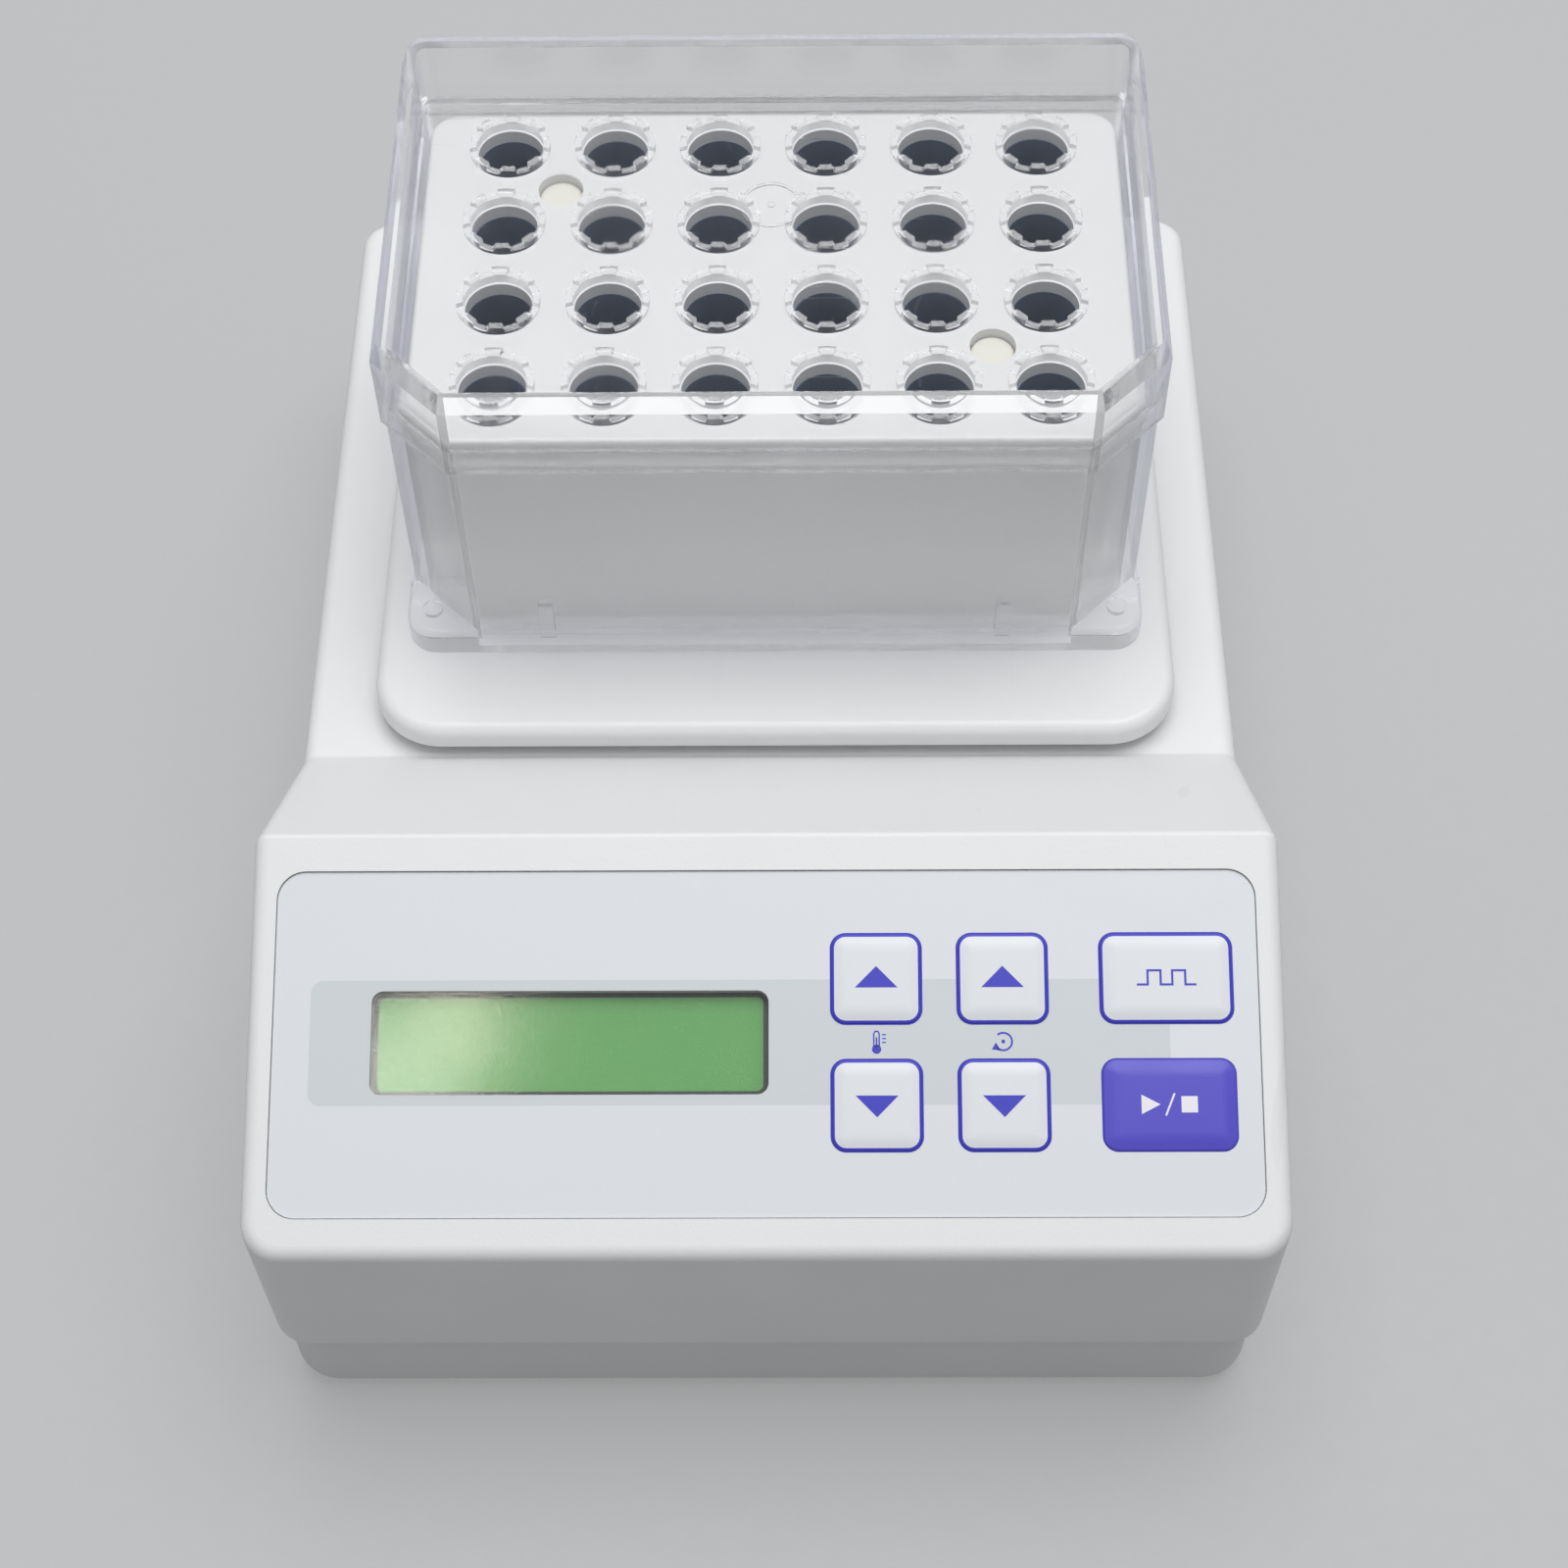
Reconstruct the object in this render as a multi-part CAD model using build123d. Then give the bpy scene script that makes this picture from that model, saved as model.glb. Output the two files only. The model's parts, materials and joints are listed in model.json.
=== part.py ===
from build123d import *
from math import atan2, cos, degrees, hypot, radians, sin, sqrt
import os

# Bench thermal mixer for 1.5 ml tubes. Millimetres; +Z up, front towards -Y.
# Origin: middle of the body's outline, on the surface that the rubber feet stand on.

# ---- Driving dimensions: housing ---------------------------------------------------------------
body_width = 160.5
body_depth = 224.0
foot_height = 3.0         # rubber showing below the pan
pan_height = 17.5         # pan underside to the seam
deck_rise = 29.1          # seam to the flat rear deck
lip_rise = 34.4           # seam to the console's front lip
ridge_rise = 28.8         # deck to the console's ridge
panel_run = 61.2          # front lip to ridge, measured level
ramp_run = 34.5           # ridge to the deck, measured level
wall = 2.8
wall_draft = 0.8
corner_radius = 6.0
edge_radius = 2.5
crease_radius = 1.0

pan_inset = 0.8
pan_wall = 2.5
pan_corner_radius = 8.0
pan_round = 1.0
pan_floor_round = 3.0
seam_lip = 3.0            # how far the pan's lip reaches up inside the housing
seam_lip_wall = 1.9
seam_fit = 0.2

foot_diameter = 14.0
foot_rim = 0.8
foot_stem = 6.0
foot_button_height = 1.5
foot_inset_x = 20.25
foot_inset_y = 30.0

case_screw_inset_x = 10.25
case_screw_front_inset = 10.5
case_screw_rear_inset = 15.0
case_screw_diameter = 3.5
case_boss_diameter = 7.0
case_pillar_diameter = 11.0
case_pillar_height = 8.5
case_head_diameter = 7.0
case_head_height = 2.6
case_counterbore_depth = 6.0
case_screw_length = 14.0
head_clearance = 0.5

pan_vent_count = 7
pan_vent_pitch = 6.0
pan_vent_length = 30.0
pan_vent_width = 2.4

# ---- Driving dimensions: control panel ---------------------------------------------------------
label_side_margin = 4.05
label_height = 53.9
label_radius = 4.5
label_pocket = 1.0
label_sheet = 0.6
label_fit = 0.15

display_width = 61.4
display_height = 16.1
display_radius = 1.8
display_share = -0.1982   # places across the label, as shares of its width
window_margin = 1.4
window_thickness = 1.0
window_fit = 0.1

key_width = 13.8
key_height = 13.9
wide_key_width = 20.3
key_radius = 2.2
key_fit = 0.25
key_row_offset = 9.8
key_share_1 = 0.1122
key_share_2 = 0.2402
key_share_3 = 0.4062
key_proud = 0.2
key_flange = 0.8
key_flange_thickness = 1.0
key_gap = 0.3
key_travel = 0.4
key_stem_diameter = 4.0
key_stem_length = 0.9

switch_size = 6.0
switch_body_height = 3.0
switch_button_diameter = 3.5
switch_button_height = 0.6

panel_board_thickness = 1.6
panel_board_height = 46.0
panel_board_margin = 10.7
panel_board_corner = 1.5
panel_boss_diameter = 5.0
panel_boss_inset = 3.5
panel_boss_edge = 2.5
panel_screw_hole = 2.5
display_glass_thickness = 2.2
display_glass_margin = 2.4

# ---- Driving dimensions: wells, block and rack -------------------------------------------------
well_pitch = 18.0
well_columns = 6
well_rows = 4
well_diameter = 11.0
well_cylinder_depth = 15.0
well_tip_diameter = 4.0
well_depth = 35.0
block_side_margin = 11.5
block_end_margin = 6.7
block_corner = 6.6
block_height = 46.7
well_rim_clearance = 0.1

jacket_wall = 2.4
jacket_fit = 0.3
jacket_corner = 7.6
jacket_rear_radius = 5.0
jacket_edge_radius = 0.8

plug_diameter = 7.4
plug_fit = 0.1
plug_length = 6.0
plug_recess = 1.6
fixing_head_diameter = 7.0
fixing_head_height = 4.0
fixing_head_depth = 30.0
fixing_diameter = 4.0
fixing_fit = 0.25
sensor_diameter = 3.8
sensor_reach = 12.0

rack_gap_x = 1.0
rack_gap_y = 2.2
rack_wall = 2.2
rack_chamfer = 10.8
rack_rear_radius = 3.4
rack_lift_gap = 0.3
rack_top_thickness = 1.0
rack_rim_height = 4.2
collar_diameter = 13.9
collar_wall = 1.2
collar_height = 1.5
collar_slots = 4
collar_slot_width = 2.4
collar_slot_depth = 0.9
rack_flange_thickness = 2.0
rack_flange_side = 0.9
rack_flange_end = 1.6
rack_flange_radius = 5.0
rack_foot_height = 5.2
rack_foot_round = 1.2
rack_pin_diameter = 3.4
rack_pin_height = 0.8
rack_rib_x = 39.2
rack_rib_width = 2.6
rack_rib_height = 9.0
rack_rib_depth = 0.8

lid_overhang = 0.85
lid_skirt_wall = 1.5
lid_skirt_height = 14.2
lid_fit = 0.3
lid_bevel_height = 3.5
lid_bevel_inset = 1.3
lid_upper_wall = 2.7
lid_roof = 2.0
gate_ring_diameter = 10.0
gate_ring_width = 0.5
gate_ring_height = 0.2
gate_dot_diameter = 1.2

# ---- Driving dimensions: mixing drive ----------------------------------------------------------
orbit_radius = 1.5
rest_phase = -48.0        # direction of the eccentric at rest
table_gap = 2.5           # deck to the underside of the table cover
table_front_gap = 1.5     # foot of the ramp to the table cover
table_rear_gap = 9.0
table_side_gap = 11.45
cover_height = 4.5
cover_wall = 2.0
cover_radius = 12.0
cover_edge_radius = 2.0
heater_margin = 4.5
heater_foil = 0.5
heater_fit = 0.3

carrier_thickness = 4.0
carrier_hub_diameter = 30.0
carrier_boss_diameter = 21.0
carrier_clearance = 1.5
carrier_rib_width = 4.0
carrier_rib_depth = 4.0

idler_inset_x = 24.8
idler_inset_y = 26.9
idler_journal = 5.0
idler_web_diameter = 12.0
idler_web_height = 3.0
idler_bearing_outer = 16.0
idler_bearing_width = 5.0

shaft_diameter = 8.0
main_bearing_outer = 22.0
main_bearing_width = 7.0
eccentric_flange_diameter = 13.0
eccentric_flange_height = 1.4
tail_journal = 6.0
tail_bearing_outer = 17.0
tail_bearing_width = 6.0
running_fit = 0.03
seat_fit = 0.02
axial_gap = 0.4

counterweight_radius = 24.0
counterweight_hub = 18.0
counterweight_height = 5.0

chassis_margin = 17.0
chassis_thickness = 3.0
chassis_z = 26.0
chassis_radius = 6.0
chassis_boss_diameter = 30.0
chassis_boss_height = 6.4
chassis_post_diameter = 20.0
chassis_post_height = 11.2
chassis_rib_width = 3.0
chassis_rib_height = 5.0
chassis_screw_inset = 7.0
chassis_screw_diameter = 4.0
chassis_screw_length = 12.0
chassis_head_diameter = 7.5
chassis_head_height = 2.6
chassis_pillar_diameter = 10.0

motor_diameter = 46.0
motor_height = 19.7
motor_wall = 1.6
motor_floor = 2.0
motor_ring_width = 6.5
motor_ring_height = 2.0
motor_screw_circle = 19.5
motor_screw_diameter = 3.0
motor_head_diameter = 5.5
motor_head_height = 2.0
motor_edge_radius = 1.5
bearing_shoulder = 3.0
stator_teeth = 12
stator_yoke = 3.5
stator_tooth_width = 3.2
stator_shoe_width = 5.2
stator_shoe_depth = 1.2
stator_height = 7.6
stator_z = 14.8
air_gap = 0.5
rotor_diameter = 24.0
coil_wire = 1.2
coil_clearance = 0.1
coil_margin = 0.8

# ---- Driving dimensions: electronics and rear panel --------------------------------------------
board_thickness = 1.6
board_pillar_height = 8.0
board_pillar_diameter = 7.0
board_screw_diameter = 2.5
board_screw_length = 6.0
board_head_diameter = 5.0
board_head_height = 1.8
board_hole_inset = 4.0
board_front_gap = 50.0    # body's front to the middle of the boards
board_depth = 66.0

supply_x = -33.0
supply_width = 58.0
transformer_width = 26.0
transformer_depth = 22.0
transformer_height = 20.0
transformer_x = -8.0
transformer_y = 16.0
choke_width = 14.0
choke_depth = 12.0
choke_height = 14.0
choke_x = -16.0
choke_y = -8.0
capacitor_diameter = 14.0
capacitor_height = 24.0
capacitor_x = 14.0
capacitor_y = 18.0
sink_x = 2.0
sink_y = -18.0
sink_width = 30.0
sink_plate = 3.0
sink_height = 24.0
sink_fins = 6
sink_fin_thickness = 1.4
sink_fin_depth = 7.5

logic_x = 33.0
logic_width = 60.0
processor_size = 14.0
processor_height = 1.6
processor_x = -8.0
processor_y = 8.0
driver_width = 9.0
driver_depth = 7.0
driver_height = 1.8
driver_x = 14.0
driver_y = 6.0
connector_depth = 7.0
connector_height = 9.0
panel_connector_width = 24.0
panel_connector_x = -6.0
motor_connector_width = 18.0
motor_connector_x = 10.0
connector_inset = 7.5

rear_recess = 1.5
rear_fit = 0.2
rear_center_z = 35.6
inlet_inset = 34.25       # body's side to the middle of the inlet
inlet_flange_radius = 2.0
inlet_flange_width = 30.0
inlet_flange_height = 22.4
inlet_body_width = 27.0
inlet_body_height = 19.6
inlet_body_depth = 15.0
inlet_corner = 5.0
inlet_wall = 1.8
inlet_pin_width = 2.0
inlet_pin_height = 4.0
inlet_pin_spread = 7.0
inlet_pin_drop = 2.0
inlet_pin_setback = 3.0
rocker_x = 12.0
rocker_frame_radius = 1.5
rocker_frame_width = 21.0
rocker_frame_height = 15.0
rocker_body_width = 19.0
rocker_body_height = 13.0
rocker_body_depth = 14.0
rocker_width = 13.0
rocker_height = 9.0
rocker_gap = 0.3
rocker_tilt = 8.0
rocker_pivot_depth = 3.0
rocker_pivot_diameter = 2.0
rocker_pivot_reach = 1.2
rocker_pocket_depth = 8.0
rocker_back = 2.2
vent_count = 9
vent_pitch = 5.0
vent_inset = 20.25        # body's side to the first vent slot
vent_width = 2.2
vent_height = 15.0

# ---- Levels and planes that follow -------------------------------------------------------------
pan_z = foot_height
pan_floor_z = pan_z + pan_wall
seam_z = pan_z + pan_height
deck_z = seam_z + deck_rise
ridge_z = deck_z + ridge_rise
lip_z = seam_z + lip_rise
front_y = -body_depth / 2
rear_y = body_depth / 2
ridge_y = front_y + panel_run
valley_y = ridge_y + ramp_run
deck_underside_z = deck_z - wall

case_screw_x = body_width / 2 - case_screw_inset_x
case_screw_front_y = body_depth / 2 - case_screw_front_inset
case_screw_rear_y = body_depth / 2 - case_screw_rear_inset
foot_spread_x = body_width / 2 - foot_inset_x
foot_spread_y = body_depth / 2 - foot_inset_y

label_width = body_width - 2 * label_side_margin
display_x = display_share * label_width
key_column_1 = key_share_1 * label_width
key_column_2 = key_share_2 * label_width
key_column_3 = key_share_3 * label_width
panel_board_width = label_width - 2 * panel_board_margin
panel_boss_x = panel_board_width / 2 - panel_boss_inset
panel_boss_y = panel_board_height / 2 - panel_boss_edge

panel_slope = atan2(ridge_z - lip_z, panel_run)
panel = Plane(
    origin=(0, (front_y + ridge_y) / 2, (lip_z + ridge_z) / 2),
    x_dir=(1, 0, 0),
    z_dir=(0, -sin(panel_slope), cos(panel_slope)),
)
key_flange_top = -wall - key_gap
key_flange_bottom = key_flange_top - key_flange_thickness
key_stem_end = key_flange_bottom - key_stem_length
switch_top = key_stem_end - key_travel - key_gap
panel_board_top = switch_top - switch_button_height - switch_body_height
panel_board_bottom = panel_board_top - panel_board_thickness

cover_width = body_width - 2 * table_side_gap
cover_depth = rear_y - valley_y - table_front_gap - table_rear_gap
drive_y = valley_y + table_front_gap + cover_depth / 2
idler_x = cover_width / 2 - idler_inset_x
idler_y = cover_depth / 2 - idler_inset_y
chassis_width = 2 * (idler_x + chassis_margin)
chassis_depth = 2 * (idler_y + chassis_margin)
chassis_screw_x = chassis_width / 2 - chassis_screw_inset
chassis_screw_y = chassis_depth / 2 - chassis_screw_inset

cover_z = deck_z + table_gap
cover_top = cover_z + cover_height
carrier_top = cover_top - cover_wall
carrier_z = carrier_top - carrier_thickness
block_z = cover_top + heater_fit
block_top = block_z + block_height
jacket_top = block_top + jacket_wall

block_width = (well_columns - 1) * well_pitch + 2 * block_side_margin
block_depth = (well_rows - 1) * well_pitch + 2 * block_end_margin
heater_width = block_width - 2 * heater_margin
heater_depth = block_depth - 2 * heater_margin
jacket_width = block_width + 2 * (jacket_fit + jacket_wall)
jacket_depth = block_depth + 2 * (jacket_fit + jacket_wall)
rack_width = jacket_width + 2 * (rack_gap_x + rack_wall)
rack_depth = jacket_depth + 2 * (rack_gap_y + rack_wall)
rack_z = cover_top + rack_lift_gap
rack_top = jacket_top + rack_lift_gap + rack_top_thickness
rack_rim_inset = lid_skirt_wall + lid_fit - lid_overhang
lid_skirt_z = rack_top - rack_rim_height + lid_fit
lid_ledge_z = rack_top + lid_fit
lid_skirt_top = lid_skirt_z + lid_skirt_height
lid_top = lid_skirt_top + lid_bevel_height

pin_x = orbit_radius * cos(radians(rest_phase))
pin_y = orbit_radius * sin(radians(rest_phase))
drive = Pos(0, drive_y, 0)
table = Pos(pin_x, drive_y + pin_y, 0)
idler_places = [(x, y) for x in (-idler_x, idler_x) for y in (-idler_y, idler_y)]
fixing_places = [(-2 * well_pitch, well_pitch), (2 * well_pitch, -well_pitch)]
well_places = [
    ((column - (well_columns - 1) / 2) * well_pitch, (row - (well_rows - 1) / 2) * well_pitch)
    for row in range(well_rows)
    for column in range(well_columns)
]

carrier_hub_z = carrier_z - main_bearing_width - axial_gap / 4
table_bearing_z = carrier_z - main_bearing_width
idler_upper_z = carrier_z - idler_bearing_width - axial_gap
chassis_top = chassis_z + chassis_thickness
chassis_boss_top = chassis_top + chassis_boss_height
chassis_post_top = chassis_top + chassis_post_height
main_bearing_z = chassis_boss_top - main_bearing_width
idler_lower_z = chassis_post_top - idler_bearing_width
counterweight_z = chassis_boss_top + axial_gap
eccentric_flange_z = carrier_hub_z - axial_gap - eccentric_flange_height
motor_z = chassis_z - motor_height
tail_bearing_z = motor_z + motor_floor
stator_diameter = motor_diameter - 2 * motor_wall - 2 * seat_fit
board_y = front_y + board_front_gap
board_z = pan_floor_z + board_pillar_height
board_top = board_z + board_thickness
inlet_x = body_width / 2 - inlet_inset
vent_first_x = vent_inset - body_width / 2

keys = {
    "key_temp_up": (key_column_1, key_row_offset, key_width),
    "key_temp_down": (key_column_1, -key_row_offset, key_width),
    "key_speed_up": (key_column_2, key_row_offset, key_width),
    "key_speed_down": (key_column_2, -key_row_offset, key_width),
    "key_pulse": (key_column_3, key_row_offset, wide_key_width),
    "key_start_stop": (key_column_3, -key_row_offset, wide_key_width),
}


# ---- Helpers -----------------------------------------------------------------------------------
def prism(sketch, bottom, top):
    """Sketch raised from one level to another."""
    return extrude(Pos(0, 0, bottom) * sketch, top - bottom)


def disc(diameter, bottom, top, x=0.0, y=0.0):
    return Pos(x, y, 0) * prism(Circle(diameter / 2), bottom, top)


def box(width, depth, bottom, top, x=0.0, y=0.0):
    return Pos(x, y, 0) * prism(Rectangle(width, depth), bottom, top)


def corners(x, y):
    return [(-x, -y), (x, -y), (-x, y), (x, y)]


def level_edges(shape, level):
    """Edges that lie flat at one height."""
    return [e for e in shape.edges() if max(abs(v.Z - level) for v in e.vertices()) < 0.01]


def chamfered_outline(width, depth, chamfer_size, rear_radius):
    """Rectangle with chamfered front corners and rounded rear corners."""
    outline = Rectangle(width, depth)
    outline = chamfer(outline.vertices().group_by(Axis.Y)[0], chamfer_size)
    return fillet(outline.vertices().group_by(Axis.Y)[-1], rear_radius)


def rack_outline(grow=0.0):
    """The rack's outer outline, moved out by grow, or in where it is negative."""
    return chamfered_outline(
        rack_width + 2 * grow,
        rack_depth + 2 * grow,
        rack_chamfer + grow * (2 - sqrt(2)),
        rack_rear_radius + grow,
    )


def bearing(inner, outer, width, bottom):
    """Shielded ball bearing: rings with shields set back a little from both faces."""
    shield = 0.3
    ring = (outer - inner) / 6
    body = disc(outer, bottom, bottom + width) - disc(inner, bottom, bottom + width)
    groove = disc(outer - ring, 0, shield) - disc(inner + ring, 0, shield)
    return body - Pos(0, 0, bottom) * groove - Pos(0, 0, bottom + width - shield) * groove


def screw(shank, length, head, head_height, head_z):
    """Pan head standing up from head_z, shank hanging down from it, hexagon socket."""
    body = disc(head, head_z, head_z + head_height) + disc(shank, head_z - length, head_z)
    socket = prism(RegularPolygon(shank / 3, 6), head_z + head_height / 2, head_z + head_height)
    return body - socket


# ---- Housing -----------------------------------------------------------------------------------
def housing_form(inset):
    """Outer form of the upper housing, or the form one wall thickness inside it."""
    bottom = seam_z - 3 * inset
    profile = make_face(
        Polyline(
            (front_y + wall_draft, bottom),
            (front_y, lip_z),
            (ridge_y, ridge_z),
            (valley_y, deck_z),
            (rear_y, deck_z),
            (rear_y - wall_draft, bottom),
            close=True,
        )
    )
    if inset:
        profile = offset(profile, -inset, kind=Kind.INTERSECTION)
    half = body_width / 2 - inset
    form = extrude(Plane.YZ * profile, half, both=True)
    uprights = [e for e in form.edges() if abs(e.tangent_at(0).Z) > 0.9 and e.center().Z < lip_z]
    form = fillet(uprights, corner_radius - inset)
    base = form.bounding_box().min.Z
    rim = [e for e in form.edges() if e.bounding_box().min.Z > base + 1 and not is_crease(e, inset)]
    form = fillet(rim, max(edge_radius - inset / 2, 0.5))
    creases = [e for e in form.edges() if is_crease(e, inset)]
    return fillet(creases, crease_radius)


def is_crease(edge, inset):
    """True for the edges along the console's ridge and at the foot of its ramp."""
    near = inset + 1.5
    middle = edge.center()
    across = abs(edge.tangent_at(0.5).X) > 0.99 and edge.length > body_width / 2
    return across and min(abs(middle.Y - ridge_y), abs(middle.Y - valley_y)) < near


def key_outline(width, grow):
    return RectangleRounded(width + 2 * grow, key_height + 2 * grow, key_radius + grow)


def panel_cut(sketch, x, y, bottom, top):
    """Solid on the sloped panel, between two depths measured from its surface."""
    return panel * (Pos(x, y, bottom) * extrude(sketch, top - bottom))


def panel_boss_places():
    """Places on the panel of the bosses that carry the board behind it."""
    return corners(panel_boss_x, panel_boss_y) + [(0, -panel_boss_y), (0, panel_boss_y)]


def case_screw_places():
    return [
        (-case_screw_x, -case_screw_front_y),
        (case_screw_x, -case_screw_front_y),
        (-case_screw_x, case_screw_rear_y),
        (case_screw_x, case_screw_rear_y),
    ]


def deck_opening():
    """Opening in the deck that the carrier's hub and bosses orbit in."""
    room = carrier_boss_diameter / 2 + orbit_radius + carrier_clearance
    return RectangleRounded(2 * (idler_x + room), 2 * (idler_y + room), room)


def upper_housing():
    form = housing_form(0)
    shell = form - housing_form(wall)
    boss_z = pan_floor_z + case_pillar_height
    for x, y in case_screw_places():
        shell += disc(case_boss_diameter, seam_z, ridge_z, x, y) & form
        shell += disc(case_boss_diameter, boss_z, seam_z, x, y)
        shell -= disc(case_screw_diameter, boss_z, boss_z + case_screw_length, x, y)
    for x, y in panel_boss_places():
        shell += panel_cut(Circle(panel_boss_diameter / 2), x, y, panel_board_top, -wall / 2)
    shell -= panel_cut(
        RectangleRounded(label_width, label_height, label_radius), 0, 0, -label_pocket, wall
    )
    for x, y, width in keys.values():
        shell -= panel_cut(key_outline(width, key_fit), x, y, -2 * wall, wall)
    opening = RectangleRounded(display_width, display_height, display_radius)
    rebate = RectangleRounded(
        display_width + 2 * window_margin, display_height + 2 * window_margin, display_radius
    )
    shell -= panel_cut(opening, display_x, 0, -2 * wall, wall)
    shell -= panel_cut(rebate, display_x, 0, -label_pocket - window_thickness, wall)
    shell -= drive * prism(deck_opening(), deck_underside_z - 1, deck_z + 1)
    return shell - rear_cuts()


def rear_block(width, height, x, near, far, corner=0.0):
    """Block at the rear panel's height that reaches from depth near to depth far."""
    sketch = RectangleRounded(width, height, corner) if corner else Rectangle(width, height)
    plane = Plane(origin=(x, rear_y - near, rear_center_z), x_dir=(1, 0, 0), z_dir=(0, -1, 0))
    return extrude(plane * sketch, far - near)


def rear_cuts():
    """Recesses and cut-outs for the inlet and the switch, and the vent slots beside them."""
    beyond = -2 * wall
    through = 3 * wall
    cuts = rear_block(
        inlet_flange_width + 2 * rear_fit, inlet_flange_height + 2 * rear_fit,
        inlet_x, beyond, rear_recess, inlet_flange_radius
    )
    cuts += rear_block(
        inlet_body_width + 2 * rear_fit, inlet_body_height + 2 * rear_fit, inlet_x, beyond, through
    )
    cuts += rear_block(
        rocker_frame_width + 2 * rear_fit, rocker_frame_height + 2 * rear_fit,
        rocker_x, beyond, rear_recess, rocker_frame_radius
    )
    cuts += rear_block(
        rocker_body_width + 2 * rear_fit, rocker_body_height + 2 * rear_fit,
        rocker_x, beyond, through
    )
    for i in range(vent_count):
        x = vent_first_x + i * vent_pitch
        cuts += rear_block(vent_width, vent_height, x, beyond, through, vent_width / 2 - 0.05)
    return cuts


def base_pan():
    outer = RectangleRounded(
        body_width - 2 * pan_inset,
        body_depth - 2 * (wall_draft + pan_inset),
        pan_corner_radius,
    )
    form = prism(outer, pan_z, seam_z)
    form = fillet(level_edges(form, pan_z), pan_round)
    inset = wall + seam_fit
    lip = RectangleRounded(
        body_width - 2 * inset, body_depth - 2 * (wall_draft + inset), corner_radius - wall / 2
    )
    body = form + prism(lip, seam_z - pan_wall, seam_z + seam_lip)
    inset += seam_lip_wall
    mouth = RectangleRounded(
        body_width - 2 * inset, body_depth - 2 * (wall_draft + inset), corner_radius
    )
    body -= prism(mouth, seam_z - pan_wall, seam_z + seam_lip)
    thick = pan_inset + pan_wall
    hollow = RectangleRounded(
        body_width - 2 * thick, body_depth - 2 * (wall_draft + thick), corner_radius
    )
    cavity = prism(hollow, pan_floor_z, seam_z - pan_wall)
    body -= fillet(level_edges(cavity, pan_floor_z), pan_floor_round)
    for x, y in case_screw_places():
        pillar_top = pan_floor_z + case_pillar_height
        body += disc(case_pillar_diameter, pan_z, pillar_top, x, y) & form
        body -= disc(case_head_diameter + head_clearance, pan_z - 1,
                     pan_z + case_counterbore_depth, x, y)
        body -= disc(case_screw_diameter + head_clearance, pan_z, seam_z, x, y)
    for x, y in chassis_screw_places():
        body += drive * disc(chassis_pillar_diameter, pan_floor_z - 1, chassis_z, x, y)
        body -= drive * disc(chassis_screw_diameter, chassis_top - chassis_screw_length - 1,
                             chassis_z, x, y)
    for x, y in board_hole_places():
        body += disc(board_pillar_diameter, pan_floor_z - 1, board_z, x, y)
        body -= disc(board_screw_diameter, pan_floor_z, board_z, x, y)
    for x, y in corners(foot_spread_x, foot_spread_y):
        body -= disc(foot_stem, pan_z - 1, pan_floor_z + 1, x, y)
    slot = prism(SlotOverall(pan_vent_length, pan_vent_width, rotation=90), pan_z - 1, pan_floor_z)
    for i in range(pan_vent_count):
        body -= Pos((i - (pan_vent_count - 1) / 2) * pan_vent_pitch, board_y, 0) * slot
    return body


def rubber_feet():
    """Mushroom feet: a pad below the pan, a stem through its floor and a button above it."""
    foot = disc(foot_diameter, 0, foot_height)
    foot = fillet(level_edges(foot, 0), foot_rim)
    foot += disc(foot_stem - seam_fit, foot_height, pan_floor_z + seam_fit)
    foot += disc(foot_stem + 2 * foot_rim, pan_floor_z + seam_fit / 2,
                 pan_floor_z + foot_button_height)
    return [Pos(x, y, 0) * foot for x, y in corners(foot_spread_x, foot_spread_y)]


def case_screws():
    """Screws that come up from below, with their heads inside the counterbores."""
    seat = pan_z + case_counterbore_depth
    upright = screw(
        case_screw_diameter - 2 * seat_fit, case_screw_length, case_head_diameter,
        case_head_height, 0
    )
    turned = Pos(0, 0, seat - seat_fit) * (Rot(180, 0, 0) * upright)
    return [Pos(x, y, 0) * turned for x, y in case_screw_places()]


# ---- Control panel -----------------------------------------------------------------------------
def front_label():
    sheet = RectangleRounded(
        label_width - 2 * label_fit, label_height - 2 * label_fit, label_radius - label_fit
    )
    top = label_sheet - label_pocket
    label = panel_cut(sheet, 0, 0, -label_pocket, top)
    for x, y, width in keys.values():
        label -= panel_cut(key_outline(width, key_fit), x, y, -wall, wall)
    opening = RectangleRounded(display_width, display_height, display_radius)
    return label - panel_cut(opening, display_x, 0, -wall, wall)


def key_cap(x, y, width):
    """Cap that shows in the label, with a flange behind the wall and a stem on its switch."""
    top = label_sheet - label_pocket + key_proud
    cap = extrude(Pos(0, 0, key_flange_bottom) * key_outline(width, 0), top - key_flange_bottom)
    cap = fillet(cap.edges().group_by(Axis.Z)[-1], key_proud)
    flange = extrude(
        Pos(0, 0, key_flange_bottom) * key_outline(width, key_flange), key_flange_thickness
    )
    stem = extrude(Pos(0, 0, key_stem_end) * Circle(key_stem_diameter / 2), key_stem_length)
    return panel * (Pos(x, y, 0) * (cap + flange + stem))


def key_switches():
    body = box(switch_size, switch_size, panel_board_top, panel_board_top + switch_body_height)
    body += disc(switch_button_diameter, panel_board_top + switch_body_height, switch_top)
    return [panel * (Pos(x, y, 0) * body) for x, y, width in keys.values()]


def panel_board():
    """Board that carries the display and the key switches."""
    outline = RectangleRounded(panel_board_width, panel_board_height, panel_board_corner)
    board = panel_cut(outline, 0, 0, panel_board_bottom, panel_board_top)
    hole = Circle(panel_screw_hole / 2)
    for x, y in panel_boss_places():
        board -= panel_cut(hole, x, y, panel_board_bottom, panel_board_top)
    return board


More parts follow.
